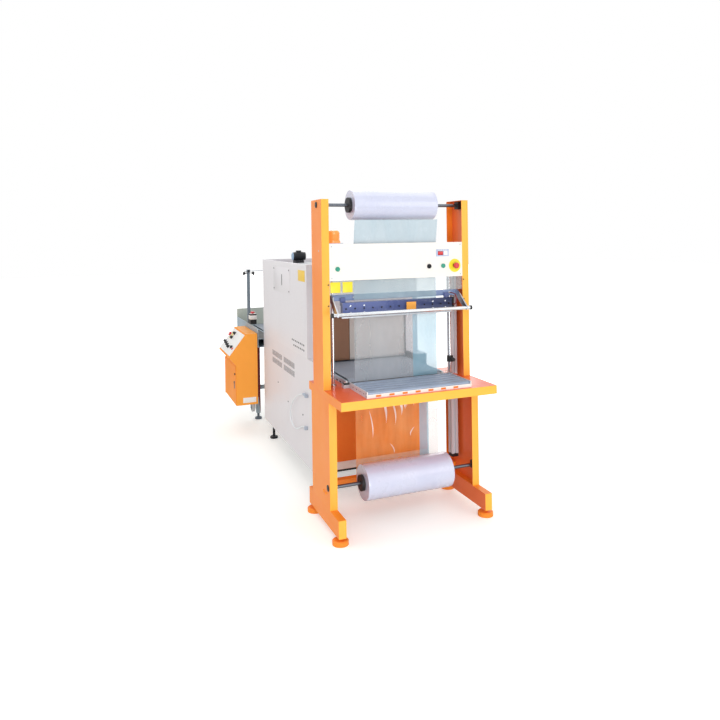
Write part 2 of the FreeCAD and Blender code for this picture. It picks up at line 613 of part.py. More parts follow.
def lift():
    """Guide rods, lift actuators and the beam that holds them behind the cover."""
    rods = []
    actuators = []
    for side, sign in SIDES:
        rods.append(turned(f"{side}_rod", "z", (f"{sign} * rod_half", "rod_back"), [
            ("table_height", 0), ("table_height", "rod_ring"),
            ("table_height + rod_ring_height", "rod_ring"),
            ("table_height + rod_ring_height", "rod_radius"), ("beam_base", "rod_radius"),
            ("beam_base", 0)]))
        across = span(sign, "lift_inner", "lift_outer")
        actuators.append(slotted_bar(f"{side}_lift_bar", sign))
        for name, base in (("lower", "lift_base"), ("upper", "beam_base - lift_cap")):
            actuators.append(box(f"{side}_{name}_lift_cap", across, ("lift_front", "lift_rear"),
                                 (base, f"{base} + lift_cap")))
    bore = cylinder("clamp_bore", "z", ("clamp_base", "clamp_base + clamp_height"),
                    ("rod_half", "rod_back"), "rod_radius + shaft_fit")
    ring = cylinder("clamp_ring", "z", ("clamp_base", "clamp_base + clamp_height"),
                    ("rod_half", "rod_back"), "clamp_radius")
    knob = cylinder("clamp_knob", "y", ("rod_back - clamp_radius - knob_length",
                                        "rod_back - rod_radius - face_gap"),
                    ("rod_half", "clamp_base + clamp_height / 2"), "knob_radius")
    clamp = cut("stop_clamp_solid", join("clamp_blank", [ring, knob]), [bore])
    node("guide_rods", *rods, clamp)
    node("lift_actuators", *actuators)
    section = [
        ("beam_front", "beam_base"), ("beam_rear", "beam_base"), ("beam_rear", "beam_base + beam_height"),
        ("beam_rear - plate", "beam_base + beam_height"), ("beam_rear - plate", "beam_base + plate"),
        ("beam_front + plate", "beam_base + plate"), ("beam_front + plate", "beam_base + beam_height"),
        ("beam_front", "beam_base + beam_height"),
    ]
    beam = prism("beam_channel", "x", both("web_face"), [section])
    shelf = box("beacon_shelf", ("-web_face", "-web_face + shelf_length"),
                ("beacon_y - shelf_depth / 2", "beacon_y + shelf_depth / 2"),
                ("shelf_base", "shelf_base + plate"))
    node("head_beam", beam, shelf)


def jaw():
    """Moving jaw: crossbar with its carriages, seal bar with its arms, and the handle bar."""
    node("jaw_crossbar",
         box("crossbar", both("crossbar_half"), ("crossbar_front", "crossbar_rear"),
             ("crossbar_base", "crossbar_top")),
         cylinder("jaw_gland", "y", ("gland_face", "crossbar_front"), ("hose_x", "loop_top"),
                  "gland_radius"))
    carriages = []
    for side, sign in SIDES:
        block = box(f"{side}_carriage_block", span(sign, "carriage_inner", "crossbar_half"),
                    ("crossbar_rear", "lift_front - face_gap"), ("crossbar_base", "crossbar_top"))
        bore = cylinder(f"{side}_carriage_bore", "z", ("crossbar_base", "crossbar_top"),
                        (f"{sign} * rod_half", "rod_back"), "rod_radius + shaft_fit")
        carriages.append(cut(f"{side}_carriage", block, [bore]))
    node("jaw_carriages", *carriages)
    middle = "jaw_depth / 2"
    outline = [
        (0, "seal_top"), ("jaw_depth", "seal_top"), ("jaw_depth", "seal_base + seal_shoulder"),
        (f"{middle} + blade_half", "seal_base + blade_height"), (f"{middle} + blade_half", "seal_base"),
        (f"{middle} - blade_half", "seal_base"), (f"{middle} - blade_half", "seal_base + blade_height"),
        (0, "seal_base + seal_shoulder"),
    ]
    pieces = [prism("seal_beam", "x", both("jaw_half"), [outline])]
    for side, sign in SIDES:
        pieces.append(box(f"{side}_seal_arm", span(sign, "arm_inner", "jaw_half"),
                          ("jaw_depth", "crossbar_front"), ("arm_base", "arm_top")))
    block = box("seal_end_block", ("jaw_half", "jaw_half + end_block"), (0, "jaw_depth"),
                ("seal_base + seal_shoulder", "seal_top"))
    node("seal_bar", join("seal_solid", pieces), block)
    arm = [
        ("crossbar_front", "crossbar_base"), ("crossbar_front", "crossbar_top"),
        ("crossbar_front / 2", "crossbar_top"),
        ("-handle_front - handle_radius", "handle_level + handle_radius"),
        ("-handle_front - handle_radius", "handle_level - handle_radius"),
        ("-handle_front + handle_radius", "handle_level - handle_radius"),
    ]
    bar = cylinder("handle_tube", "x", both("handle_half - cap_length"),
                   ("-handle_front", "handle_level"), "handle_radius")
    arms = []
    caps = []
    for side, sign in SIDES:
        arms.append(prism(f"{side}_handle_arm", "x",
                          span(sign, "handle_arm", "handle_arm + arm_sheet"), [arm]))
        caps.append(cylinder(f"{side}_handle_cap", "x",
                             span(sign, "handle_half - cap_length", "handle_half"),
                             ("-handle_front", "handle_level"), "cap_radius"))
    node("handle_bar", join("handle_solid", [bar] + arms), *caps)


def collar(name, x, outer, inner, depth, base):
    """Ring round a control on the front cover."""
    along = (f"-({base}) - ({depth})", f"-({base})")
    ring = cylinder(f"{name}_ring", "y", along, (x, "button_level"), outer)
    hole = cylinder(f"{name}_hole", "y", along, (x, "button_level"), inner)
    return cut(name, ring, [hole])


def front_cover():
    """Folded front cover with its display and collars, the clear guard and the beacon."""
    height = ("cover_base", "cover_top")
    window_x = ("display_x - display_width / 2 + bezel", "display_x + display_width / 2 - bezel")
    window_z = ("display_z - display_height / 2 + bezel", "display_z + display_height / 2 - bezel")
    face = prism("cover_face", "y", (0, "cover_sheet"),
                 [rectangle(both("cover_half"), height), rectangle(window_x, window_z)])
    depth = ("cover_sheet", "cover_return")
    folds = [
        box("cover_top_fold", both("cover_half"), depth, ("cover_top - cover_sheet", "cover_top")),
        box("cover_low_fold", both("cover_half"), depth, ("cover_base", "cover_base + cover_sheet")),
    ]
    for side, sign in SIDES:
        folds.append(box(f"{side}_cover_fold", span(sign, "cover_half - cover_sheet", "cover_half"),
                         depth, height))
    display_body = box("display_body", window_x, (0, "display_depth"), window_z)
    display_face = box("display_face", ("display_x - display_width / 2", "display_x + display_width / 2"),
                       ("-bezel", 0), ("display_z - display_height / 2", "display_z + display_height / 2"))
    rings = [collar(f"{name}_collar", x, "collar_radius", "button_radius + shaft_fit * 2",
                    "collar_depth", 0)
             for name, x in (("start", "start_x"), ("selector", "selector_x"), ("reset", "reset_x"))]
    stop_disc = cylinder("stop_disc", "y", ("-cover_sheet", 0), ("stop_x", "button_level"), "stop_plate")
    rings.append(collar("stop_collar_ring", "stop_x", "collar_radius", "stop_stem + shaft_fit * 2",
                        "stop_collar", "cover_sheet"))
    display = join("display_unit", [display_body, display_face])
    node("front_cover", join("cover_solid", [face] + folds), display, stop_disc, *rings)
    node("safety_guard", box("guard_sheet_body", both("cover_half"),
                             ("guard_front", "guard_front + guard_sheet"), ("guard_base", "cover_base")))
    base = "shelf_base + plate"
    node("beacon", turned("beacon_body", "z", ("beacon_x", "beacon_y"), [
        (base, 0), (base, "beacon_radius"), (f"{base} + beacon_height * 0.2", "beacon_radius"),
        (f"{base} + beacon_height * 0.25", "beacon_radius * 0.92"),
        (f"{base} + beacon_height * 0.75", "beacon_radius * 0.92"),
        (f"{base} + beacon_height * 0.95", "beacon_radius * 0.7"),
        (f"{base} + beacon_height", "beacon_radius * 0.4"), (f"{base} + beacon_height", 0)]))


def controls():
    """Buttons of the front cover that travel or turn."""
    for name, x in (("start_button", "start_x"), ("reset_button", "reset_x")):
        node(name, turned(f"{name}_body", "y", (x, "button_level"), [
            ("-face_gap - button_travel", 0), ("-face_gap - button_travel", "button_radius"),
            ("-collar_depth - button_travel + 1", "button_radius"),
            ("-collar_depth - button_travel", "button_radius - 2"),
            ("-collar_depth - button_travel", 0)]))
    knob = turned("selector_base", "y", ("selector_x", "button_level"), [
        ("-face_gap", 0), ("-face_gap", "button_radius"),
        ("-collar_depth - button_travel", "button_radius"), ("-collar_depth - button_travel", 0)])
    lever = box("selector_lever", ("selector_x - knob_lever / 2", "selector_x + knob_lever / 2"),
                ("-collar_depth - button_travel * 3", "-collar_depth - button_travel"),
                ("button_level - button_radius * 0.9", "button_level + button_radius * 0.9"))
    node("mode_selector", join("selector_solid", [knob, lever]))
    rear = "-cover_sheet - stop_collar - stop_travel - 1"
    node("estop_button", turned("estop_body", "y", ("stop_x", "button_level"), [
        ("-cover_sheet - stop_travel - 1", 0), ("-cover_sheet - stop_travel - 1", "stop_stem"),
        (rear, "stop_stem"), (rear, "mushroom_radius"),
        (f"{rear} - mushroom_depth * 0.7", "mushroom_radius"),
        (f"{rear} - mushroom_depth", "mushroom_radius * 0.75"), (f"{rear} - mushroom_depth", 0)]))


def roll_profile(outer, length):
    """Film wound on a core, as a hollow turned outline."""
    return [(f"-({length})", "core_radius"), (f"-({length})", outer), (length, outer),
            (length, "core_radius")]


def shaft_profile():
    """Shaft with a flanged chuck at each end of the roll, as a turned outline."""
    right = [
        ("film_half - plug_length", "shaft_radius"), ("film_half - plug_length", "core_radius - face_gap"),
        ("film_half", "core_radius - face_gap"), ("film_half", "chuck_radius"),
        ("film_half + chuck_thick", "chuck_radius"), ("film_half + chuck_thick", "shaft_radius"),
        ("shaft_end", "shaft_radius"), ("shaft_end", 0),
    ]
    left = [(f"-({along})", radius) for along, radius in reversed(right)]
    return left + right


def film():
    """Two film rolls on their shafts, the idler behind the cover and the hanging web."""
    rolls = (("top", "top_roll_y", "top_roll_z", "top_roll_radius"),
             ("lower", "low_roll_y", "low_roll_z", "low_roll_radius"))
    blocks = []
    for name, y, z, radius in rolls:
        wound = turned(f"{name}_roll_body", "x", (y, z), roll_profile(radius, "film_half"))
        node(f"{name}_film_roll", wound)
        node(f"{name}_roll_shaft", turned(f"{name}_shaft_body", "x", (y, z), shaft_profile()))
        for side, sign in SIDES:
            across = span(sign, "web_face - block_width", "web_face")
            block = box(f"{name}_{side}_block", across, (f"{y} - block_half", f"{y} + block_half"),
                        (f"{z} - block_half", f"{z} + block_half"))
            bore = cylinder(f"{name}_{side}_block_bore", "x", across, (y, z), "shaft_radius + shaft_fit")
            blocks.append(cut(f"{name}_{side}_bearing", block, [bore]))
    node("bearing_blocks", *blocks)
    tube = "web_face - idler_gap"
    node("upper_idler", turned("idler_body", "x", ("idler_y", "idler_z"), [
        ("-half_width", 0), ("-half_width", "idler_pin"), (f"-({tube})", "idler_pin"),
        (f"-({tube})", "idler_radius"), (tube, "idler_radius"), (tube, "idler_pin"),
        ("half_width", "idler_pin"), ("half_width", 0)]))
    run = "web_run / web_long"
    drop = "web_drop / web_long"
    near = "top_roll_radius + face_gap"
    far = "top_roll_radius + face_gap + film_thick"
    near_low = "idler_radius + face_gap"
    far_low = "idler_radius + face_gap + film_thick"
    web = [(f"top_roll_y - ({near}) * {drop}", f"top_roll_z - ({near}) * {run}"),
           (f"idler_y - ({near_low}) * {drop}", f"idler_z - ({near_low}) * {run}"),
           (f"idler_y - ({far_low}) * {drop}", f"idler_z - ({far_low}) * {run}"),
           (f"top_roll_y - ({far}) * {drop}", f"top_roll_z - ({far}) * {run}")]
    node("upper_film", prism("upper_web", "x", both("film_half"), [web]))
    node("film_curtain", box("curtain_sheet", both("film_half"), ("film_front", "film_rear"),
                             ("low_roll_z", "idler_z - idler_radius")))


def stadium(name, radius, across):
    """Long block with round ends about the two conveyor axes."""
    straight = box(f"{name}_straight", across, ("nose_y", "drum_y"),
                   (f"belt_z - ({radius})", f"belt_z + ({radius})"))
    ends = [cylinder(f"{name}_{end}", "x", across, (y, "belt_z"), radius)
            for end, y in (("front", "nose_y"), ("rear", "drum_y"))]
    return join(name, [straight] + ends)


def conveyor():
    """Side rails, belt, nose roller and drive drum of the conveyor."""
    bores = [(y, "belt_z", "drum_pin + shaft_fit") for y in ("nose_y", "drum_y")]
    rails = [prism(f"{side}_rail", "x", span(sign, "rail_inner", "rail_outer"),
                   [rectangle(("rail_front", "rail_end"), ("rail_base", "rail_top"))], bores)
             for side, sign in SIDES]
    node("conveyor_rails", *rails)
    belt = cut("belt_loop", stadium("belt_outside", "belt_radius", both("belt_half")),
               [stadium("belt_inside", "belt_inner", both("belt_half"))])
    node("conveyor_belt", belt)
    profile = [("-rail_outer", 0), ("-rail_outer", "drum_pin"), ("-belt_half", "drum_pin"),
               ("-belt_half", "drum_radius"), ("belt_half", "drum_radius"), ("belt_half", "drum_pin"),
               ("rail_outer", "drum_pin"), ("rail_outer", 0)]
    for name, y in (("nose_roller", "nose_y"), ("drive_drum", "drum_y")):
        node(name, turned(f"{name}_body", "x", (y, "belt_z"), profile))


def tunnel_base():
    """Base casing with two fields of louvres in each side, and its front cover."""
    inner = "tunnel_half - sheet"
    right = [
        ("tunnel_half", "base_floor"), ("tunnel_half", "base_top"), ("rail_outer + sheet", "base_top"),
        ("rail_outer + sheet", "base_top - sheet"), (inner, "base_top - sheet"),
        (inner, "base_floor + sheet"),
    ]
    left = [(f"-({across})", up) for across, up in reversed(right)]
    casing = prism("base_casing", "y", ("tunnel_front", "tunnel_rear"), [right + left])
    vents = [rectangle((start, f"{start} + vent_width"), (base, f"{base} + vent_height"))
             for start in ("vent_first", "vent_second") for base in ("vent_lower", "vent_upper")]
    sketch = sketch_on(casing, "x", (0, 0, 0), vents)
    pocket = casing.newObject("PartDesign::Pocket", "base_vents")
    pocket.Profile = sketch
    pocket.Type = "ThroughAll"
    pocket.Midplane = True
    rows = casing.newObject("PartDesign::LinearPattern", "base_vent_rows")
    rows.Originals = [pocket]
    rows.Direction = (sketch, ["H_Axis"])
    bind(rows, Length="slot_pitch * (vent_count - 1)", Occurrences="vent_count")
    casing.Tip = rows
    walls = [box(f"base_{name}_wall", both(inner), (y, f"{y} + sheet"),
                 ("base_floor + sheet", "carrier_base"))
             for name, y in (("front", "tunnel_front"), ("rear", "tunnel_rear - sheet"))]
    for index in range(3):
        start = f"carrier_first + carrier_pitch * {index}"
        walls.append(box(f"rail_carrier_{index}", both(inner), (start, f"{start} + carrier_depth"),
                         ("carrier_base", "rail_base")))
    size = "elbow_half"
    elbows = []
    for name, (x, y, z) in (("upper", AIR_HOSE[0]), ("lower", AIR_HOSE[-1])):
        elbows.append(box(f"{name}_elbow", (f"{x} - {size}", "-tunnel_half"),
                          (f"{y} - {size} * 2", y), (f"{z} - {size}", f"{z} + {size}")))
    node("base_panels", join("base_solid", [casing] + walls), *elbows)
    outside = box("pan_outside", both("pan_half"), ("tunnel_front - pan_depth", "tunnel_front"),
                  ("pan_base", "pan_top"))
    inside = box("pan_inside", both("pan_half - pan_sheet"),
                 ("tunnel_front - pan_depth + pan_sheet", "tunnel_front"),
                 ("pan_base + pan_sheet", "pan_top - pan_sheet"))
    node("base_front_cover", cut("pan_solid", outside, [inside]))


def hood():
    """Hood with portals and a sunk roof, the insulated chamber and the hanging curtains."""
    block = box("hood_block", both("tunnel_half"), ("hood_front", "tunnel_rear"),
                ("base_top", "hood_top"))
    hollow = box("hood_hollow", both("tunnel_half - hood_sheet"),
                 ("hood_front + hood_sheet", "tunnel_rear - hood_sheet"),
                 ("base_top", "roof_floor - hood_sheet"))
    recess = box("hood_recess", both("tunnel_half - roof_rim"),
                 ("hood_front + roof_rim", "tunnel_rear - roof_rim"), ("roof_floor", "hood_top"))
    portals = [box(f"hood_{name}_portal", both("portal_half"), (y, f"{y} + hood_sheet"),
                   ("base_top", "portal_top"))
               for name, y in (("front", "hood_front"), ("rear", "tunnel_rear - hood_sheet"))]
    shaft_hole = cylinder("hood_shaft_hole", "z", ("roof_floor - hood_sheet", "roof_floor"),
                          ("fan_x", "fan_y"), "fan_shaft + shaft_fit")
    space = join("hood_space", [hollow] + portals)
    node("hood_shell", cut("hood_solid", block, [space, recess, shaft_hole]))
    arch = [
        ("portal_half", "base_top"), ("chamber_outer", "base_top"), ("chamber_outer", "chamber_top"),
        ("-chamber_outer", "chamber_top"), ("-chamber_outer", "base_top"), ("-portal_half", "base_top"),
        ("-portal_half", "portal_top"), ("portal_half", "portal_top"),
    ]
    shell = prism("chamber_arch", "y", ("chamber_front", "chamber_rear"), [arch])
    ends = (("entrance", "chamber_front + curtain_inset"), ("exit", "chamber_rear - curtain_inset"))
    holes = [cylinder(f"{name}_curtain_bore", "x", both("portal_half + plate"), (y, "curtain_z"),
                      "curtain_pin + shaft_fit") for name, y in ends]
    holes.append(cylinder("fan_inlet_hole", "z", ("portal_top", "chamber_top"), ("fan_x", "fan_y"),
                          "fan_inlet"))
    node("tunnel_chamber", cut("chamber_solid", shell, holes))
    for name, y in ends:
        rod = cylinder(f"{name}_rod", "x", both("portal_half + plate"), (y, "curtain_z"), "curtain_pin")
        strips = []
        limits = (("-curtain_half", "strip_first"), ("strip_first + curtain_gap", "strip_second"),
                  ("strip_second + curtain_gap", "curtain_half"))
        for index, across in enumerate(limits):
            strips.append(box(f"{name}_strip_{index}", across,
                              (f"{y} - curtain_thick / 2", f"{y} + curtain_thick / 2"),
                              ("curtain_base", "curtain_z")))
        node(f"{name}_curtain", join(f"{name}_curtain_solid", [rod] + strips))


def fan():
    """Fan wheel over the chamber, its shaft through the roof and the geared motor."""
    middle = ("fan_x", "fan_y")
    height = ("fan_base", "fan_base + fan_height")
    shaft = cylinder("fan_spindle", "z", ("fan_base", "roof_floor - face_gap"), middle, "fan_shaft")
    hub = cylinder("fan_hub_body", "z", height, middle, "fan_hub")
    disc = cylinder("fan_disc", "z", ("fan_base + fan_height - plate", "fan_base + fan_height"), middle,
                    "fan_radius")
    blades = []
    for index in range(8):
        blade = DOC.addObject("Part::Box", f"fan_blade_{index}")
        bind(blade, Length="fan_radius", Width="blade_thick", Height="fan_height")
        turn = FreeCAD.Rotation(FreeCAD.Vector(0, 0, 1), 45 * index)
        blade.Placement = FreeCAD.Placement(FreeCAD.Vector(), turn)
        blades.append(place(blade, "fan_x", "fan_y", "fan_base"))
    rim = cylinder("fan_outline", "z", height, middle, "fan_radius")
    wheel = DOC.addObject("Part::Common", "fan_wheel")
    wheel.Base = join("fan_blades", blades)
    wheel.Tool = rim
    node("fan_impeller", join("fan_solid", [wheel, hub, disc, shaft]))

    def around(half):
        """Limits of a square about the fan's axis."""
        return (f"fan_x - {half}", f"fan_x + {half}"), (f"fan_y - {half}", f"fan_y + {half}")

    gear = box("gear_case", *around("gear_size / 2"), ("roof_floor", "roof_floor + gear_height"))
    level = "roof_floor + motor_level"
    barrel = turned("motor_barrel", "x", ("fan_y", level), [
        ("fan_x - motor_half", 0), ("fan_x - motor_half", "motor_radius * 0.8"),
        ("fan_x - motor_half * 0.9", "motor_radius"), ("fan_x + motor_half", "motor_radius"),
        ("fan_x + motor_half", 0)])
    neck = box("motor_neck", *around("gear_size / 4"), ("roof_floor + gear_height", level))
    terminals = box("terminal_box", *around("terminal_size / 2"),
                    (level, f"{level} + motor_radius + terminal_height"))
    node("fan_motor", join("motor_solid", [gear, barrel, neck, terminals]))


def outfeed():
    """Outfeed covers with the pan and the end guard, and the emergency stop on its box."""
    wall = "outfeed_half - plate"
    length = ("tunnel_rear", "outfeed_end")
    pieces = [box("outfeed_pan", both(wall), length, ("rail_base - plate", "rail_base"))]
    for side, sign in SIDES:
        pieces.append(box(f"{side}_outfeed_side", span(sign, wall, "outfeed_half"), length,
                          ("rail_base - plate", "outfeed_top")))
        pieces.append(box(f"{side}_outfeed_deck", span(sign, "rail_outer + notch_gap", wall), length,
                          ("rail_top - plate", "rail_top")))
    pieces.append(box("outfeed_stop", both("outfeed_half"), ("outfeed_end", "outfeed_end + plate"),
                      ("rail_base - plate", "stop_top")))
    left = "-outfeed_half"
    across = (left, f"{left} + box_size")
    along = ("box_y - box_depth / 2", "box_y + box_depth / 2")
    stop_box = box("stop_box_body", across, along, ("outfeed_top", "outfeed_top + box_height"))
    lid = box("stop_box_lid", across, along,
              ("outfeed_top + box_height", "outfeed_top + box_height + box_lid"))
    top = "outfeed_top + box_height + box_lid"
    middle = (f"{left} + box_size / 2", "box_y")
    bore = cylinder("stop_box_bore", "z", (f"{top} - 25", top), middle, "stop_stem + shaft_fit * 2")
    control_box = cut("stop_box_solid", join("stop_box_blank", [stop_box, lid]), [bore])
    node("outfeed_covers", join("outfeed_solid", pieces), control_box)
    head = f"{top} + stop_travel + 1"
    node("outfeed_estop", turned("outfeed_estop_body", "z", middle, [
        (f"{top} - 12", 0), (f"{top} - 12", "stop_stem"), (head, "stop_stem"), (head, "mushroom_radius"),
        (f"{head} + mushroom_depth * 0.7", "mushroom_radius"),
        (f"{head} + mushroom_depth", "mushroom_radius * 0.75"), (f"{head} + mushroom_depth", 0)]))


def outfeed_legs():
    """Legs of the outfeed with their feet, castor forks and wheels."""
    half = "leg_size / 2"
    parts = [box("leg_tie", both("leg_half"), ("leg_y - leg_size / 4", "leg_y + leg_size / 4"),
                 ("tie_level", "tie_level + leg_size"))]
    feet_parts = []
    wheel_gap = "(castor_width / 2 + fork_gap)"
    for side, sign in SIDES:
        middle = f"{sign} * leg_half"
        parts.append(box(f"{side}_leg", (f"{middle} - {half}", f"{middle} + {half}"),
                         (f"leg_y - {half}", f"leg_y + {half}"), ("leg_foot", "rail_base - plate")))
        feet_parts.append(foot(f"{side}_leg_foot", middle, "leg_y", "pad_radius", "pad_height",
                               "leg_foot"))
        wheel_x = f"{sign} * castor_x"
        outer = f"castor_x + {wheel_gap} + fork_sheet"
        parts.append(box(f"{side}_fork_plate", span(sign, "leg_half", outer),
                         ("leg_y - fork_depth / 2", "leg_y + fork_depth / 2"),
                         ("fork_top", "fork_top + fork_sheet")))
        cheeks = (("inner", f"castor_x - {wheel_gap} - fork_sheet", f"castor_x - {wheel_gap}"),
                  ("outer", f"castor_x + {wheel_gap}", outer))
        for name, near, far in cheeks:
            parts.append(box(f"{side}_{name}_fork", span(sign, near, far),
                             ("leg_y - fork_depth / 2", "leg_y + fork_depth / 2"),
                             ("castor_z - castor_pin * 3", "fork_top")))
        between = span(sign, f"castor_x - {wheel_gap}", f"castor_x + {wheel_gap}")
        parts.append(cylinder(f"{side}_axle", "x", between, ("leg_y", "castor_z"), "castor_pin"))
        half_tread = "castor_width / 2"
        node(f"castor_wheel_{side}", turned(f"{side}_wheel_body", "x", ("leg_y", "castor_z"), [
            (f"{wheel_x} - {half_tread}", "castor_pin + shaft_fit"),
            (f"{wheel_x} - {half_tread}", "castor_radius - 4"),
            (f"{wheel_x} - {half_tread} + 4", "castor_radius"),
            (f"{wheel_x} + {half_tread} - 4", "castor_radius"),
            (f"{wheel_x} + {half_tread}", "castor_radius - 4"),
            (f"{wheel_x} + {half_tread}", "castor_pin + shaft_fit")]))
    node("outfeed_legs", join("legs_solid", parts), *feet_parts)


def sensor():
    """Sensor post with its clamp, and the rod that slides in it."""
    half = "post_size / 2"
    wide = "clamp_size / 2"
    post = box("post_tube", (f"-post_x - {half}", f"-post_x + {half}"),
               (f"post_y - {half}", f"post_y + {half}"), ("outfeed_top", "post_top"))
    clamp = box("post_clamp", (f"-post_x - {wide}", f"-post_x + {wide}"),
                (f"post_y - {wide}", f"post_y + {wide}"), ("post_top", "post_top + clamp_tall"))
    bore = cylinder("post_bore", "x", (f"-post_x - {wide}", f"-post_x + {wide}"), ("post_y", "bar_z"),
                    "bar_radius + shaft_fit")
    wings = [cylinder(f"wing_{name}", "y", along, ("-post_x", "bar_z"), "wing_radius")
             for name, along in (("front", (f"post_y - {wide} - wing_length", f"post_y - {wide}")),
                                 ("rear", (f"post_y + {wide}", f"post_y + {wide} + wing_length")))]
    node("sensor_post", cut("post_solid", join("post_blank", [post, clamp]), [bore]), *wings)
    rod = cylinder("sensor_bar", "x", ("-bar_left", "-bar_right"), ("post_y", "bar_z"), "bar_radius")
    head = box("sensor_head", ("-bar_right", "-bar_right + sensor_size"),
               ("post_y - sensor_size / 2", "post_y + sensor_size / 2"),
               ("bar_z + bar_radius - sensor_tall", "bar_z + bar_radius"))
    node("sensor_rod", rod, head)


def on_slope(along, above):
    """Point on the sloped face of the cabinet, from its top edge and its height over the face."""
    x = f"-shoulder_x - slope_run * ({along}) / slope_long - slope_drop * ({above}) / slope_long"
    z = f"cabinet_top - slope_drop * ({along}) / slope_long + slope_run * ({above}) / slope_long"
    return x, z


def on_panel(name, piece, along, y):
    """Stand a piece that was turned about Z on the sloped plate of the cabinet."""
    holder = group(f"{name}_holder", [piece])
    holder.Placement = FreeCAD.Placement(FreeCAD.Vector(), FreeCAD.Rotation(FreeCAD.Vector(0, -1, 0), 45))
    holder.setExpression("Placement.Rotation.Angle", formula("atan(slope_drop / slope_run)"))
    x, z = on_slope(along, "panel_thick")
    return place(holder, x, y, z)


def hinge():
    """Lugs with pivot pins for the cabinet, and the bores that they need in the door's barrel."""
    across = ("hinge_x - knuckle_radius", "-cabinet_left")
    along = ("hinge_y - knuckle_radius", "hinge_y + knuckle_radius")
    lower = ("door_base - face_gap - hinge_lug", "door_base - face_gap")
    upper = ("door_top + face_gap", "door_top + face_gap + hinge_lug")
    middle = ("hinge_x", "hinge_y")
    lugs = [box("lower_lug", across, along, lower), box("upper_lug", across, along, upper),
            cylinder("lower_pivot", "z", (lower[0], "door_base + hinge_reach"), middle, "hinge_pin"),
            cylinder("upper_pivot", "z", ("door_top - hinge_reach", upper[1]), middle, "hinge_pin")]
    bores = [cylinder(f"{name}_pivot_bore", "z", limits, middle, "hinge_pin + shaft_fit")
             for name, limits in (("lower", ("door_base", "door_base + hinge_reach + face_gap")),
                                  ("upper", ("door_top - hinge_reach - face_gap", "door_top")))]
    return lugs, bores


def cabinet():
    """Control cabinet: folded case, door with lock, and the sloped plate with its controls."""
    wall = "cabinet_sheet"
    outline = [
        ("-cabinet_right", "cabinet_base"), ("-cabinet_right", "cabinet_top"),
        ("-shoulder_x", "cabinet_top"), ("-lip_x", "lip_z"), ("-cabinet_left", "chin_z"),
        ("-cabinet_left", "cabinet_base"),
    ]
    inside = [
        (f"-cabinet_right - {wall}", f"cabinet_base + {wall}"),
        (f"-cabinet_right - {wall}", f"cabinet_top - {wall}"),
        (f"-shoulder_x + {wall} / 2", f"cabinet_top - {wall}"), (f"-lip_x + {wall} * 1.4", "lip_z"),
        (f"-cabinet_left + {wall}", "chin_z + cabinet_sheet / 2"),
        (f"-cabinet_left + {wall}", f"cabinet_base + {wall}"),
    ]
    case = prism("cabinet_case", "y", ("cabinet_front", "cabinet_rear"), [outline])
    space = prism("cabinet_space", "y", (f"cabinet_front + {wall}", f"cabinet_rear - {wall}"), [inside])
    doorway = box("doorway", ("-cabinet_left", f"-cabinet_left + {wall}"),
                  ("cabinet_front + door_inset + door_lap", "cabinet_rear - door_inset - door_lap"),
                  ("door_base + door_lap", "door_top - door_lap"))
    strip = box("cabinet_strip", ("-cabinet_right", "-outfeed_half"), ("strip_front", "strip_rear"),
                ("strip_base", "strip_top"))
    lugs, bores = hinge()
    hollow = cut("cabinet_hollow", case, [join("cabinet_room", [space, doorway])])
    node("control_cabinet", join("cabinet_solid", [hollow] + lugs), strip)
    door = box("door_sheet_body", ("-door_face - door_sheet", "-door_face"),
               ("cabinet_front + door_inset", "hinge_y"), ("door_base", "door_top"))
    barrel = cylinder("door_barrel", "z", ("door_base", "door_top"), ("hinge_x", "hinge_y"),
                      "knuckle_radius")
    lock = cylinder("door_lock", "x", ("-door_face - door_sheet - lock_length", "-door_face - door_sheet"),
                    ("cabinet_front + door_inset + door_lap * 3",
                     "door_base + (door_top - door_base) * 0.8"), "lock_radius")
    node("cabinet_door", cut("door_solid", join("door_blank", [door, barrel, lock]), bores))
    plate = [on_slope("panel_inset", 0), on_slope("slope_long - panel_inset", 0),
             on_slope("slope_long - panel_inset", "panel_thick"), on_slope("panel_inset", "panel_thick")]
    panel = prism("panel_sheet", "y", ("cabinet_front + panel_inset", "cabinet_rear - panel_inset"), [plate])
    ring = cylinder("panel_ring_outer", "z", (0, "stop_collar"), (0, 0), "collar_radius")
    hole = cylinder("panel_ring_inner", "z", (0, "stop_collar"), (0, 0), "stop_stem + shaft_fit * 2")
    panel_collar = on_panel("panel_collar", cut("panel_ring", ring, [hole]), "panel_stop_s", "panel_stop_y")
    node("console_plate", panel, panel_collar)
    head = "stop_collar + stop_travel + 1"
    stop = turned("console_stop_body", "z", (0, 0), [
        ("stop_travel + 1", 0), ("stop_travel + 1", "stop_stem"), (head, "stop_stem"),
        (head, "mushroom_radius"), (f"{head} + mushroom_depth * 0.7", "mushroom_radius"),
        (f"{head} + mushroom_depth", "mushroom_radius * 0.75"), (f"{head} + mushroom_depth", 0)])
    node("console_estop", on_panel("console_stop", stop, "panel_stop_s", "panel_stop_y"))
    knob = turned("console_knob_body", "z", (0, 0), [
        ("face_gap", 0), ("face_gap", "collar_radius"), ("knob_tall * 0.5", "collar_radius"),
        ("knob_tall * 0.5", "button_radius"), ("knob_tall", "button_radius * 0.8"), ("knob_tall", 0)])
    node("console_selector", on_panel("console_knob", knob, "panel_knob_s", "panel_knob_y"))


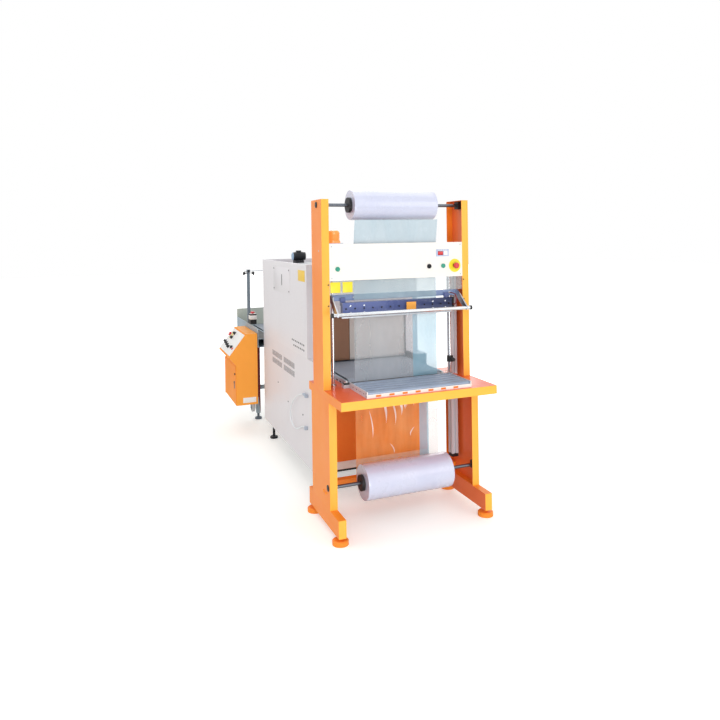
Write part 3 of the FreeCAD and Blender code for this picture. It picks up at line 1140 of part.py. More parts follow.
def tube(name, route, radius):
    """Hose as straight runs joined by tangent arcs, each as large as its two runs allow."""
    corners = [FreeCAD.Vector(*(number(length) for length in point)) for point in route]
    edges = []
    start = corners[0]
    radii = []
    for before, corner, after in zip(corners, corners[1:], corners[2:]):
        arriving = (corner - before).normalize()
        leaving = (after - corner).normalize()
        half_turn = arriving.getAngle(leaving) / 2
        reach = 0.45 * min((corner - before).Length, (after - corner).Length)
        radii.append(round(reach / math.tan(half_turn), 1))
        entry = corner - arriving * reach
        exit_point = corner + leaving * reach
        inward = (leaving - arriving).normalize()
        depth = reach * (1 / math.cos(half_turn) - 1) / math.tan(half_turn)
        middle = corner + inward * depth
        edges.append(Part.LineSegment(start, entry).toShape())
        edges.append(Part.Arc(entry, middle, exit_point).toShape())
        start = exit_point
    edges.append(Part.LineSegment(start, corners[-1]).toShape())
    path = Part.Wire(edges)
    ring = Part.Wire(Part.makeCircle(number(radius), corners[0], corners[1] - corners[0]))
    hose = DOC.addObject("Part::Feature", name)
    hose.Shape = path.makePipeShell([ring], True, True)
    print(name, "length", round(path.Length, 1), "smallest radius", min(radii))
    return hose


def hoses():
    """Air hose beside the tunnel base and the hose of the jaw."""
    node("air_hose", tube("air_hose_tube", AIR_HOSE, "air_hose_radius"))
    node("jaw_hose", tube("jaw_hose_tube", JAW_HOSE, "jaw_hose_radius"))


def check():
    """Stop if any object failed or any finished piece is not a valid solid."""
    faults = [item.Name for item in DOC.Objects if {"Invalid", "Error"} & set(item.State)]
    if faults:
        raise RuntimeError(f"failed objects: {faults}")
    for item in NODES:
        if item.Shape.isNull() or not item.Shape.isValid() or not item.Shape.Solids:
            raise RuntimeError(f"{item.Label} is not a valid solid")


def main():
    """Build the machine and write each piece."""
    write_sizes()
    for section in (side_frames, feet, table, infeed_bed, lift, jaw, front_cover, controls, film,
                    conveyor, tunnel_base, hood, fan, outfeed, outfeed_legs, sensor, cabinet, hoses):
        section()
    DOC.recompute()
    check()
    os.makedirs("parts", exist_ok=True)
    for item in NODES:
        item.Shape.exportStep(f"parts/{item.Label}.step")
    print(len(NODES), "pieces written")


main()
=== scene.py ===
"""Looks of a sleeve sealer with its film rolls, shrink tunnel, outfeed and control cabinet.

Places are written in millimetres on the maker's drawing: x from the middle of the sealer to the
operator's right, y from the front of its uprights along the line, and z from the floor.
"""

import logging
import math
from dataclasses import dataclass
from enum import Enum
from typing import Callable, Iterable, Sequence

import bmesh
import bpy
from mathutils import Matrix, Vector, noise


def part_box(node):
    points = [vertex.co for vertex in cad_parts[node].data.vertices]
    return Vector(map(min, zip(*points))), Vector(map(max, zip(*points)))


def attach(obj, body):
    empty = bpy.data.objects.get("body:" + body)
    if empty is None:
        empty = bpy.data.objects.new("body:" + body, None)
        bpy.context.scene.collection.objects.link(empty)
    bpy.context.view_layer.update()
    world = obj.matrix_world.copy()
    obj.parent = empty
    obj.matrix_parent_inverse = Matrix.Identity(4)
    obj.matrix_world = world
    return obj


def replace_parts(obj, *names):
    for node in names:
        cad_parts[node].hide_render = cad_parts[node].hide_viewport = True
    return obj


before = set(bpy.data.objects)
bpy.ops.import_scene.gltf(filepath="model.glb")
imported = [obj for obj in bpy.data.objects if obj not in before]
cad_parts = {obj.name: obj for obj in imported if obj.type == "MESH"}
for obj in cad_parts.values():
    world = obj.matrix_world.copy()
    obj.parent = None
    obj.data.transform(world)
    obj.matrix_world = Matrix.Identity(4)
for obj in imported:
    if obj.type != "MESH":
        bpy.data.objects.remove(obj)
LOG = logging.getLogger("sleeve_sealer")
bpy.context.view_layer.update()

Point = tuple[float, float, float]
Limits = tuple[float, float]
Box = tuple[Limits, Limits, Limits]
Profile = tuple[Limits, ...]
Colour = tuple[float, float, float, float]
Tree = bpy.types.NodeTree
Node = bpy.types.Node
Socket = bpy.types.NodeSocket
Piece = bpy.types.Object

WHITE: Colour = (1, 1, 1, 1)
DUST_COLOUR = "CFC9BE"
COAT_ROUGHNESS = 0.12
PAINT_SPECULAR = 0.3
GLOW_STRENGTH = 0.9
RELIEF_DEPTH = 0.002
WELD_REACH = 0.00002
FLAT_ANGLE = 0.5
EASED_ANGLE = 40
CURVED_ANGLE = 35
ANYWHERE: Limits = (-5000, 5000)
TABLE_FRONT = 326


class Axis(Enum):
    """Direction that a turned piece or a fastener points along."""

    X = (1, 0, 0)
    LEFT = (-1, 0, 0)
    Y = (0, 1, 0)
    FRONT = (0, -1, 0)
    Z = (0, 0, 1)


SIDES = ((-1, Axis.LEFT), (1, Axis.X))


class Kind(Enum):
    """How a finish behaves in light."""

    PAINT = "paint"
    METAL = "metal"
    PLASTIC = "plastic"
    RUBBER = "rubber"
    FILM = "film"
    CLEAR = "clear"
    GLOW = "glow"


@dataclass(frozen=True)
class Drawing:
    """The maker's drawing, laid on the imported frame."""

    across: float
    along: float

    @classmethod
    def on_frame(cls) -> "Drawing":
        """Find the middle of the table and its front edge in the frame."""
        low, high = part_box("table_tray")
        return cls((low.x + high.x) / 2, low.y + TABLE_FRONT / 1000)

    def at(self, x: float, y: float, z: float) -> Vector:
        """Turn a place on the drawing into metres in the frame."""
        return Vector((x / 1000 + self.across, y / 1000 + self.along, z / 1000))


DRAWING = Drawing.on_frame()


def linear(colour: str) -> Colour:
    """Turn a written colour into the renderer's own numbers.

    Args:
        colour: six hexadecimal digits.

    Returns:
        Red, green, blue and alpha.
    """
    shares = [int(colour[start:start + 2], 16) / 255 for start in (0, 2, 4)]
    parts = [share / 12.92 if share <= 0.04045 else ((share + 0.055) / 1.055) ** 2.4
             for share in shares]
    return (*parts, 1.0)


def span(first: float, second: float) -> Limits:
    """Put two limits in order."""
    return min(first, second), max(first, second)


def row(first: float, pitch: float, count: int) -> list[float]:
    """Give evenly spaced places."""
    return [first + index * pitch for index in range(count)]


def link_object(name: str, data: bpy.types.ID) -> Piece:
    """Make an object and link it to the scene."""
    item = bpy.data.objects.new(name, data)
    bpy.context.scene.collection.objects.link(item)
    return item


def add_node(tree: Tree, kind: str, inputs: dict | None = None, **settings: str) -> Node:
    """Add a shader node with its inputs filled.

    Args:
        tree: nodes that it joins.
        kind: type of the node.
        inputs: a constant, or a socket to link, for each input by name or number.
        settings: the node's own choices.

    Returns:
        The node.
    """
    node = tree.nodes.new(kind)
    for label, choice in settings.items():
        setattr(node, label, choice)
    for label, source in (inputs or {}).items():
        if isinstance(source, Socket):
            tree.links.new(source, node.inputs[label])
        else:
            node.inputs[label].default_value = source
    return node


def combine(tree: Tree, first: Socket, second: Socket | float,
            operation: str = "MULTIPLY") -> Socket:
    """Work two numbers of a tree of nodes into one."""
    return add_node(tree, "ShaderNodeMath", {0: first, 1: second}, operation=operation).outputs[0]


class EffectGroups:
    """Shader effects that several finishes share, each built once."""

    def __init__(self) -> None:
        """Build the groups."""
        self.relief = self._relief()
        self.mottle = self._mottle()
        self.wear = self._wear()
        self.dust = self._dust()

    @staticmethod
    def _group(name: str, inputs: dict[str, float], output: str) -> Tree:
        """Make an empty group with number sockets.

        Args:
            name: name of the group.
            inputs: names of the inputs with their values.
            output: name of the output.

        Returns:
            The group.
        """
        tree = bpy.data.node_groups.new(name, "ShaderNodeTree")
        new_socket = tree.interface.new_socket
        for label, value in inputs.items():
            socket = new_socket(label, in_out="INPUT", socket_type="NodeSocketFloat")
            socket.default_value = value
        new_socket(output, in_out="OUTPUT", socket_type="NodeSocketFloat")
        tree.nodes.new("NodeGroupInput").name = "in"
        tree.nodes.new("NodeGroupOutput").name = "out"
        return tree

    @staticmethod
    def _put_out(tree: Tree, result: Socket) -> Tree:
        """Feed a result to the group's only output."""
        tree.links.new(result, tree.nodes["out"].inputs[0])
        return tree

    def _relief(self) -> Tree:
        """Fine surface height, stretched along the frame's three axes."""
        given_values = {"Scale": 200, "Across": 1, "Along": 1, "Up": 1}
        tree = self._group("surface_relief", given_values, "Height")
        given = tree.nodes["in"].outputs
        place = add_node(tree, "ShaderNodeTexCoord").outputs["Object"]
        stretch = add_node(tree, "ShaderNodeCombineXYZ", {
            "X": given["Across"], "Y": given["Along"], "Z": given["Up"]})
        scaled = add_node(tree, "ShaderNodeVectorMath", {0: place, 1: stretch.outputs[0]},
                          operation="MULTIPLY")
        pattern = add_node(tree, "ShaderNodeTexNoise", {
            "Vector": scaled.outputs[0], "Scale": given["Scale"], "Detail": 3})
        return self._put_out(tree, pattern.outputs["Fac"])

    def _mottle(self) -> Tree:
        """Broad uneven patches, as handling leaves on a surface."""
        tree = self._group("handled_patches", {"Scale": 4, "Sharpness": 0.3}, "Mask")
        given = tree.nodes["in"].outputs
        place = add_node(tree, "ShaderNodeTexCoord").outputs["Object"]
        pattern = add_node(tree, "ShaderNodeTexNoise", {
            "Vector": place, "Scale": given["Scale"], "Detail": 6, "Roughness": 0.65})
        patches = add_node(tree, "ShaderNodeMapRange", {
            "Value": pattern.outputs["Fac"], "From Min": given["Sharpness"], "From Max": 0.75})
        return self._put_out(tree, patches.outputs["Result"])

    def _wear(self) -> Tree:
        """Rubbed edges, broken up by noise."""
        tree = self._group("rubbed_edges", {"Amount": 0.5}, "Mask")
        shape = add_node(tree, "ShaderNodeNewGeometry").outputs
        edge = add_node(tree, "ShaderNodeMapRange", {
            "Value": shape["Pointiness"], "From Min": 0.52, "From Max": 0.6})
        return self._broken(tree, edge.outputs["Result"], {"Scale": 35})

    def _dust(self) -> Tree:
        """Dust that lies on faces turned upwards."""
        tree = self._group("settled_dust", {"Amount": 0.3}, "Mask")
        shape = add_node(tree, "ShaderNodeNewGeometry").outputs
        parts = add_node(tree, "ShaderNodeSeparateXYZ", {0: shape["Normal"]})
        upward = add_node(tree, "ShaderNodeMapRange", {
            "Value": parts.outputs["Z"], "From Min": 0.6})
        return self._broken(tree, upward.outputs["Result"], {"Scale": 9, "Detail": 8})

    def _broken(self, tree: Tree, mask: Socket, pattern: dict[str, float]) -> Tree:
        """Break a mask up with noise, and weaken it to the group's amount."""
        spots = add_node(tree, "ShaderNodeTexNoise", pattern).outputs["Fac"]
        amount = tree.nodes["in"].outputs["Amount"]
        return self._put_out(tree, combine(tree, combine(tree, mask, spots), amount))


GROUPS = EffectGroups()


@dataclass(frozen=True)
class Finish:
    """One finish of the machine: its colour and how its surface is worked.

    Attributes:
        name: name of the material.
        slot: name of a colour slot; not used.
        colour: main colour, as six hexadecimal digits.
        kind: how it behaves in light.
        roughness: roughness where nothing has touched it.
        second: colour of its patches, or nothing for a darker main colour.
        mottle: strength of the patches.
        patch_scale: fineness of the patches.
        relief: strength of the fine relief.
        grain: fineness of the relief.
        stretch: how much finer the relief is across, along and up.
        wear: strength of rubbed edges, on paint and plastic.
        dust: strength of the dust on faces that look up.
        coat: weight of a clear coat.
        alpha: least and greatest cover, following the relief.
    """

    name: str
    slot: str
    colour: str
    kind: Kind = Kind.PAINT
    roughness: float = 0.35
    second: str = ""
    mottle: float = 0.12
    patch_scale: float = 4
    relief: float = 0.05
    grain: float = 220
    stretch: Point = (1, 1, 1)
    wear: float = 0.25
    dust: float = 0.0
    coat: float = 0.0
    alpha: Limits = (1.0, 1.0)

    def material(self) -> bpy.types.Material:
        """Give the material of this finish, making it the first time."""
        return bpy.data.materials.get(self.name) or self._make()

    def _make(self) -> bpy.types.Material:
        """Build the material's nodes."""
        material = bpy.data.materials.new(self.name)
        material.use_nodes = True
        tree = material.node_tree
        shader = tree.nodes["Principled BSDF"].inputs
        shader["Metallic"].default_value = 1.0 if self.kind is Kind.METAL else 0.0
        shader["Coat Weight"].default_value = 0.6 if self.kind is Kind.CLEAR else self.coat
        shader["Coat Roughness"].default_value = COAT_ROUGHNESS
        if self.kind is Kind.PAINT:
            shader["Specular IOR Level"].default_value = PAINT_SPECULAR
        patches = self._place(tree, GROUPS.mottle, Scale=self.patch_scale)
        base = self._mix(tree, linear(self.colour), self.second or self._shaded(0.8), patches,
                         self.mottle)
        if self.kind in (Kind.PAINT, Kind.PLASTIC) and self.wear > 0:
            worn = self._place(tree, GROUPS.wear, Amount=self.wear)
            base = self._mix(tree, base, self._shaded(1.35), worn)
        if self.dust > 0:
            lying = self._place(tree, GROUPS.dust, Amount=self.dust)
            base = self._mix(tree, base, DUST_COLOUR, lying)
        tree.links.new(base, shader["Base Color"])
        rubbed = min(1.0, self.roughness + 0.14)
        self._map(tree, patches, shader["Roughness"], self.roughness, rubbed)
        across, along, up = self.stretch
        height = self._place(tree, GROUPS.relief, Scale=self.grain, Across=across, Along=along,
                             Up=up)
        bump = add_node(tree, "ShaderNodeBump", {
            "Strength": self.relief, "Distance": RELIEF_DEPTH, "Height": height})
        tree.links.new(bump.outputs["Normal"], shader["Normal"])
        if self.alpha[0] < 1:
            self._map(tree, height, shader["Alpha"], *self.alpha)
        if self.kind is Kind.GLOW:
            tree.links.new(base, shader["Emission Color"])
            shader["Emission Strength"].default_value = GLOW_STRENGTH
        return material

    def _shaded(self, share: float) -> str:
        """Give this finish's colour made darker or lighter by a share."""
        parts = [int(self.colour[start:start + 2], 16) * share for start in (0, 2, 4)]
        return "".join(f"{min(255, round(part)):02X}" for part in parts)

    @staticmethod
    def _place(tree: Tree, group: Tree, **values: float) -> Socket:
        """Place a shared effect in a material.

        Args:
            tree: the material's nodes.
            group: the shared effect.
            values: its inputs by name.

        Returns:
            The effect's output.
        """
        node = tree.nodes.new("ShaderNodeGroup")
        node.node_tree = group
        for label, value in values.items():
            node.inputs[label].default_value = value
        return node.outputs[0]

    @staticmethod
    def _mix(tree: Tree, first: Colour | Socket, second: str, mask: Socket,
             share: float = 1.0) -> Socket:
        """Lay a second colour over a first where a mask says so.

        Args:
            tree: the material's nodes.
            first: a colour or the socket that gives one.
            second: the colour laid over it, as six hexadecimal digits.
            mask: where it shows.
            share: how strongly it shows.

        Returns:
            The socket of the mixed colour.
        """
        mix = add_node(tree, "ShaderNodeMix", data_type="RGBA", inputs={
            "Factor": combine(tree, mask, share), "A": first, "B": linear(second)})
        return mix.outputs["Result"]

    @staticmethod
    def _map(tree: Tree, source: Socket, target: Socket, low: float, high: float) -> None:
        """Feed a mask to a shader socket between two values."""
        mapped = add_node(tree, "ShaderNodeMapRange", {
            "Value": source, "To Min": low, "To Max": high})
        tree.links.new(mapped.outputs["Result"], target)


ORANGE = Finish(
    "orange_enamel", "orange_paint", "F98B2C", roughness=0.36, second="F27C26", coat=0.12)
# Painted shade and reflection: a redder, darker copy of the orange paint for the table tray.
SHADED_TABLE_ORANGE = Finish(
    "table_painted_shade", "orange_paint", "F0602C", roughness=0.26, second="E65424", coat=0.3)
# Painted light: a brighter copy of the orange paint for faces that meet the light from the front.
PAINTED_LIGHT_ORANGE = Finish(
    "painted_light_front_orange", "orange_paint", "FFB544", roughness=0.34, second="FFA83A", coat=0.2)
# Painted shade: a redder copy of the orange paint for the inner webs of the side channels.
SHADED_WEB_ORANGE = Finish(
    "inner_web_painted_shade", "orange_paint", "F2743C", roughness=0.3, second="E9602E", coat=0.3)
PAN_ORANGE = Finish(
    "pan_enamel", "orange_paint", "FB8029", roughness=0.42, second="EE6A22", mottle=0.5,
    patch_scale=3)
CABINET_ORANGE = Finish("cabinet_enamel", "orange_paint", "FFA23A", roughness=0.4, coat=0.1)
DOOR_ORANGE = Finish("cabinet_door_enamel", "orange_paint", "FA9422", roughness=0.5)
CREAM = Finish(
    "cream_enamel", "cream_paint", "F1EBE4", roughness=0.36, second="E6E0DB", mottle=0.1, coat=0.1)
TUNNEL_GREY = Finish(
    "tunnel_enamel", "tunnel_paint", "E2DEE2", roughness=0.36, second="D8CED0", dust=0.12,
    coat=0.15)
ROOF_GREY = Finish("roof_enamel", "tunnel_paint", "A9AAB2", roughness=0.45, dust=0.3)
OUTFEED_GREY = Finish("outfeed_enamel", "outfeed_paint", "9FB0BC", roughness=0.4, dust=0.12)
END_GUARD = Finish("end_guard_enamel", "outfeed_paint", "C6CEC4", roughness=0.4, dust=0.12)
POST_GREY = Finish("post_enamel", "outfeed_paint", "76838F")
# Dark red over the upper part of the left leg only.
LEG_RED = Finish("left_leg_upper_dark_red", "outfeed_paint", "7A2C30", roughness=0.4)
FOOT_GREY = Finish("foot_pad", "outfeed_paint", "66727F", roughness=0.45, dust=0.12)
JAW_BLUE = Finish("jaw_enamel", "jaw_paint", "7D90B8", roughness=0.2, coat=0.7)
SEAL_BLUE = Finish(
    "seal_enamel", "seal_paint", "5C699E", roughness=0.22, second="464C80", coat=0.6)
LOWER_GREY = Finish("lower_jaw_enamel", "seal_paint", "C9CDD4", dust=0.05)
CHROME = Finish("bright_chrome", "chrome_steel", "DFE2E6", Kind.METAL, 0.1, relief=0.01)
STEEL = Finish(
    "ground_steel", "steel", "BFC3CA", Kind.METAL, 0.28, grain=40, stretch=(1, 30, 30), dust=0.05)
ROLLER_STEEL = Finish(
    "roller_steel", "steel", "95A0B2", Kind.METAL, 0.27, second="6F7A8C", mottle=0.4,
    patch_scale=9, relief=0.35, grain=26, stretch=(0.6, 60, 60))
BED_GREY = Finish("bed_enamel", "tunnel_paint", "C3C9D2", roughness=0.3, coat=0.2)
SHAFT_STEEL = Finish("shaft_steel", "chrome_steel", "6E737B", Kind.METAL, 0.3, relief=0.02)
LIFT = Finish(
    "lift_profile", "aluminium", "D0D4DB", roughness=0.3, mottle=0.06, grain=30,
    stretch=(30, 30, 1), wear=0.0, coat=0.3)
ALUMINIUM = Finish(
    "anodised_aluminium", "aluminium", "C9CDD2", Kind.METAL, 0.34, grain=25, stretch=(40, 40, 1))
CHAMBER = Finish(
    "chamber_sheet", "steel", "A7A5A2", Kind.METAL, 0.45, relief=0.06, grain=30,
    stretch=(30, 1, 30))
DARK = Finish("black_enamel", "dark_metal", "26272C", roughness=0.4, dust=0.1)
BLACK = Finish("black_moulding", "black_plastic", "17181B", Kind.PLASTIC, 0.45, dust=0.06)
WOUND_FILM = Finish(
    "wound_film", "film", "D3D6EA", Kind.PLASTIC, 0.22, second="B9BFDB", mottle=0.6, patch_scale=5,
    relief=0.03, grain=60, stretch=(14, 1, 1), wear=0.0, coat=1.0)
WEB_FILM = Finish(
    "hanging_film", "film_sheet", "CDD5DC", Kind.FILM, 0.16, second="DDE3EA", mottle=0.8,
    relief=0.06, grain=2.5, stretch=(3, 1, 0.8), coat=0.3, alpha=(0.24, 0.46))
WEB_UPPER = Finish(
    "upper_film", "film_sheet", "9FB8C6", Kind.FILM, 0.18, second="B9CCD7", mottle=0.8, relief=0.1,
    grain=3, stretch=(5, 1, 0.8), coat=0.3, alpha=(0.62, 0.86))
# Painted light: the film below the table takes the orange glow of the lit pan behind it, with
# lighter patches painted as glints.
LOWER_FILM_GLOW = Finish(
    "lower_film_painted_glow", "film_sheet", "FF9C40", Kind.FILM, 0.3, second="FFBE78", mottle=0.9,
    patch_scale=5, relief=0.1, grain=3, stretch=(4, 1, 0.8), coat=0.2, alpha=(0.25, 0.7))
WEB_EDGE = Finish(
    "film_edge", "film_sheet", "F3D8D6", Kind.FILM, 0.3, relief=0.1, grain=3, coat=0.2,
    alpha=(0.1, 0.5))
WEB_WOUND = Finish(
    "film_on_roll", "film_sheet", "D3D6EA", Kind.FILM, 0.2, relief=0.2, grain=4, coat=0.3,
    alpha=(0.02, 0.08))
WEB_SIDE = Finish(
    "folded_film", "film_sheet", "8EBBD0", Kind.FILM, 0.16, second="A6C9DA", mottle=0.8,
    relief=0.3, grain=4, stretch=(5, 1, 0.8), coat=0.3, alpha=(0.6, 0.82))
# Painted highlight: white glints along the folds of the hanging film.
FILM_GLINT = Finish(
    "painted_film_glint", "film_sheet", "FFFFFF", Kind.FILM, 0.15, relief=0.2, grain=12, coat=1.0,
    alpha=(0.35, 0.95))
CLEAR = Finish(
    "clear_guard", "clear_sheet", "DCE6E8", Kind.CLEAR, 0.06, relief=0.02, grain=6,
    alpha=(0.12, 0.26))
BEZEL = Finish("display_bezel", "cream_paint", "AEB8D8", Kind.PLASTIC, 0.3)
AMBER = Finish("amber_lens", "amber", "F4803A", Kind.GLOW, 0.2, relief=0.03, dust=0.05, coat=0.6)
GREEN = Finish("green_button", "green_plastic", "16957A", Kind.PLASTIC, 0.25, coat=0.5)
RED = Finish("red_button", "red_plastic", "D0202A", Kind.PLASTIC, 0.28, coat=0.5)
RED_GLOW = Finish("red_digits", "red_plastic", "FF2A24", Kind.GLOW, 0.3)
RED_WINDOW = Finish("red_window", "red_plastic", "8C1016", Kind.PLASTIC, 0.15, wear=0.0, coat=0.8)
YELLOW = Finish("yellow_plate", "amber", "F5DF2A", Kind.PLASTIC, 0.35, wear=0.1)
HOOD_YELLOW = Finish("hood_plate_face", "amber", "F3C648", Kind.PLASTIC, 0.4)
PLATE_ORANGE = Finish("orange_plate", "amber", "F0A23A", Kind.PLASTIC, 0.35, wear=0.1)
CARD = Finish("card_core", "film", "A98D6B", Kind.RUBBER, 0.8, relief=0.2)
WHITE_HOSE = Finish("white_hose", "hose_white", "E9EDF0", Kind.PLASTIC, 0.3, wear=0.0, coat=0.2)
RED_HOSE = Finish("red_hose", "hose_red", "7D1F2C", Kind.PLASTIC, 0.3, wear=0.0, coat=0.3)
BELT = Finish(
    "slatted_belt", "belt_dark", "98A0AC", Kind.RUBBER, 0.42, second="7B8491", mottle=0.4,
    relief=0.8, grain=3, stretch=(1, 60, 1))
COUPLING = Finish("hose_coupling", "black_plastic", "A9B6C6", Kind.PLASTIC, 0.35)
# Painted shade: the left part of each curtain is brown for the shade that falls on it.
SHADED_CLOTH = Finish(
    "curtain_painted_shade", "curtain_brown", "9B7056", Kind.RUBBER, 0.55, relief=0.25, grain=400)
PALE_CLOTH = Finish(
    "pale_curtain", "curtain_brown", "DCD3CC", Kind.RUBBER, 0.4, relief=0.2, grain=300)
TYRE = Finish("castor_tyre", "black_plastic", "D0D3D8", Kind.RUBBER, 0.6, relief=0.1, dust=0.1)
MOTOR_BLUE = Finish("motor_cowl", "dark_metal", "9DB9D6", dust=0.12)
PANEL_WHITE = Finish("white_panel", "cream_paint", "EFEDEA", roughness=0.3, mottle=0.05, dust=0.05)


class Mould:
    """Collects the faces of one piece and sets it on the body that carries it."""

    def __init__(self, name: str) -> None:
        """Start an empty piece."""
        self.name = name
        self.mesh = bmesh.new()

    def block(self, x: Limits, y: Limits, z: Limits, edge: float = 1.0) -> "Mould":
        """Add a block with eased edges.

        Args:
            x: limits across the machine, in millimetres.
            y: limits along the line.
            z: limits in height.
            edge: width of the eased edge.

        Returns:
            This piece.
        """
        low, high = DRAWING.at(x[0], y[0], z[0]), DRAWING.at(x[1], y[1], z[1])
        corners = bmesh.ops.create_cube(self.mesh, size=1.0)["verts"]
        size = high - low
        place = Matrix.Translation((low + high) / 2) @ Matrix.Diagonal((*size, 1))
        bmesh.ops.transform(self.mesh, verts=corners, matrix=place)
        edges = list(dict.fromkeys(link for vertex in corners for link in vertex.link_edges))
        bmesh.ops.bevel(self.mesh, geom=edges, offset=min(edge / 1000, min(size) * 0.45),
                        segments=2, profile=0.5, affect="EDGES")
        return self

    def turn(self, centre: Point, axis: Axis, profile: Iterable[Limits],
             steps: int = 40) -> "Mould":
        """Add a turned form.

        Args:
            centre: start of the axis on the drawing.
            axis: direction of the axis.
            profile: pairs of place along the axis and radius, in millimetres.
            steps: faces round the axis.

        Returns:
            This piece.
        """
        return self.turn_about(DRAWING.at(*centre), Vector(axis.value), profile, steps)

    def turn_about(self, start: Vector, direction: Vector, profile: Iterable[Limits],
                   steps: int = 40) -> "Mould":
        """Add a turned form about any axis.

        Args:
            start: start of the axis in the frame.
            direction: unit direction of the axis.
            profile: pairs of place along the axis and radius, in millimetres.
            steps: faces round the axis.

        Returns:
            This piece.
        """
        side = direction.orthogonal().normalized()
        other = direction.cross(side).normalized()
        rings = []
        for along, radius in profile:
            middle = start + direction * along / 1000
            if radius <= 0:
                rings.append([self.mesh.verts.new(middle)])
                continue
            ring = []
            for step in range(steps):
                angle = 2 * math.pi * step / steps
                spoke = side * math.cos(angle) + other * math.sin(angle)
                ring.append(self.mesh.verts.new(middle + spoke * radius / 1000))
            rings.append(ring)
        for first, second in zip(rings, rings[1:]):
            self._bridge(first, second)
        return self

    def _bridge(self, first: list, second: list) -> None:
        """Join two rings, either of which may be a single point."""
        steps = max(len(first), len(second))
        for step in range(steps):
            following = (step + 1) % steps
            corners = []
            for ring, order in ((first, (step, following)), (second, (following, step))):
                corners += [ring[0]] if len(ring) == 1 else [ring[index] for index in order]
            self.mesh.faces.new(corners)

    def net(self, columns: int, rows: int, point: Callable[[float, float], Vector]) -> "Mould":
        """Add a net of faces.

        Args:
            columns: faces across.
            rows: faces down.
            point: gives a corner from its shares of the width and the height.

        Returns:
            This piece.
        """
        corners = [[self.mesh.verts.new(point(column / columns, row / rows))
                    for column in range(columns + 1)] for row in range(rows + 1)]
        for upper, lower in zip(corners, corners[1:]):
            for start in range(columns):
                end = start + 1
                self.mesh.faces.new([upper[start], upper[end], lower[end], lower[start]])
        return self

    def set_on(self, body: str, finish: Finish, smooth: float = 40) -> Piece:
        """Make the object and let it ride on a body.

        Args:
            body: body that carries the piece.
            finish: its finish.
            smooth: angle in degrees under which edges look round.

        Returns:
            The new object.
        """
        bmesh.ops.recalc_face_normals(self.mesh, faces=self.mesh.faces)
        data = bpy.data.meshes.new(self.name)
        self.mesh.to_mesh(data)
        self.mesh.free()
        round_off(data, smooth)
        data.materials.append(finish.material())
        piece = link_object(self.name, data)
        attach(piece, body)
        LOG.info("%s rides on %s", self.name, body)
        return piece


def set_blocks(name: str, boxes: Iterable[Box], edge: float, body: str, finish: Finish) -> None:
    """Make one piece of blocks.

    Args:
        name: name of the piece.
        boxes: limits of each block across, along and up.
        edge: width of their eased edges.
        body: body that carries them.
        finish: their finish.
    """
    blocks = Mould(name)
    for box in boxes:
        blocks.block(*box, edge)
    blocks.set_on(body, finish)


def set_turned(name: str, places: Iterable[tuple[Point, Axis]], profile: Iterable[Limits],
               steps: int, body: str, finish: Finish) -> Piece:
    """Make one piece of alike turned forms.

    Args:
        name: name of the piece.
        places: start and direction of each.
        profile: pairs of place along the axis and radius.
        steps: faces round each.
        body: body that carries them.
        finish: their finish.

    Returns:
        The new object.
    """
    forms = Mould(name)
    for centre, axis in places:
        forms.turn(centre, axis, profile, steps)
    return forms.set_on(body, finish)


def set_screws(name: str, places: Iterable[Point], radius: float, head: float, body: str,
               finish: Finish, axis: Axis = Axis.FRONT) -> None:
    """Make one piece of domed screw heads with round sockets.

    Args:
        name: name of the piece.
        places: their places on the drawing.
        radius: radius of their heads.
        head: height of their heads.
        body: body that carries them.
        finish: their finish.
        axis: the way that they face.
    """
    profile = ((0, radius), (head * 0.5, radius), (head * 0.9, radius * 0.8),
               (head, radius * 0.45), (head * 0.45, radius * 0.4), (head * 0.45, 0))
    set_turned(name, [(place, axis) for place in places], profile, 20, body, finish)


def round_off(data: bpy.types.Mesh, angle: float) -> None:
    """Let faces that meet at less than an angle look like one curve."""
    data.polygons.foreach_set("use_smooth", [True] * len(data.polygons))
    data.set_sharp_from_angle(angle=math.radians(angle))


@dataclass(frozen=True)
class Region:
    """Box on the drawing in which a node takes another finish."""

    finish: Finish
    x: Limits = ANYWHERE
    y: Limits = ANYWHERE
    z: Limits = ANYWHERE
    facing: Axis | None = None

    def holds(self, centre: Vector, normal: Vector) -> bool:
        """Say whether a face lies in this region."""
        low = DRAWING.at(self.x[0], self.y[0], self.z[0])
        high = DRAWING.at(self.x[1], self.y[1], self.z[1])
        inside = all(low[axis] <= centre[axis] <= high[axis] for axis in range(3))
        return inside and (self.facing is None or normal.dot(Vector(self.facing.value)) > 0.7)


def paint(data: bpy.types.Mesh, finish: Finish, *regions: Region) -> None:
    """Give a mesh its finish, and each region's faces another."""
    data.materials.clear()
    for item in (finish, *(region.finish for region in regions)):
        data.materials.append(item.material())
    for face in data.polygons:
        face.material_index = 0
        for index, region in enumerate(regions, start=1):
            if region.holds(face.center, face.normal):
                face.material_index = index


def dress(node: str, finish: Finish, *regions: Region, edge: float = 0.0) -> None:
    """Give a node of the frame its finishes.

    Args:
        node: name of the node.
        finish: finish of most of it.
        regions: places that take another finish.
        edge: width in millimetres of eased edges.
    """
    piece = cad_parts[node]
    paint(piece.data, finish, *regions)
    round_off(piece.data, CURVED_ANGLE)
    if edge > 0:
        piece.modifiers.new("weld", "WELD").merge_threshold = WELD_REACH
        flat = piece.modifiers.new("whole_faces", "DECIMATE")
        flat.decimate_type = "DISSOLVE"
        flat.angle_limit = math.radians(FLAT_ANGLE)
        flat.delimit = {"MATERIAL", "NORMAL"}
        ease = piece.modifiers.new("eased_edges", "BEVEL")
        ease.width = edge / 1000
        ease.segments = 2
        ease.angle_limit = math.radians(EASED_ANGLE)
        piece.modifiers.new("even_shading", "WEIGHTED_NORMAL").keep_sharp = True
    LOG.info("%s dressed in %s", node, finish.name)


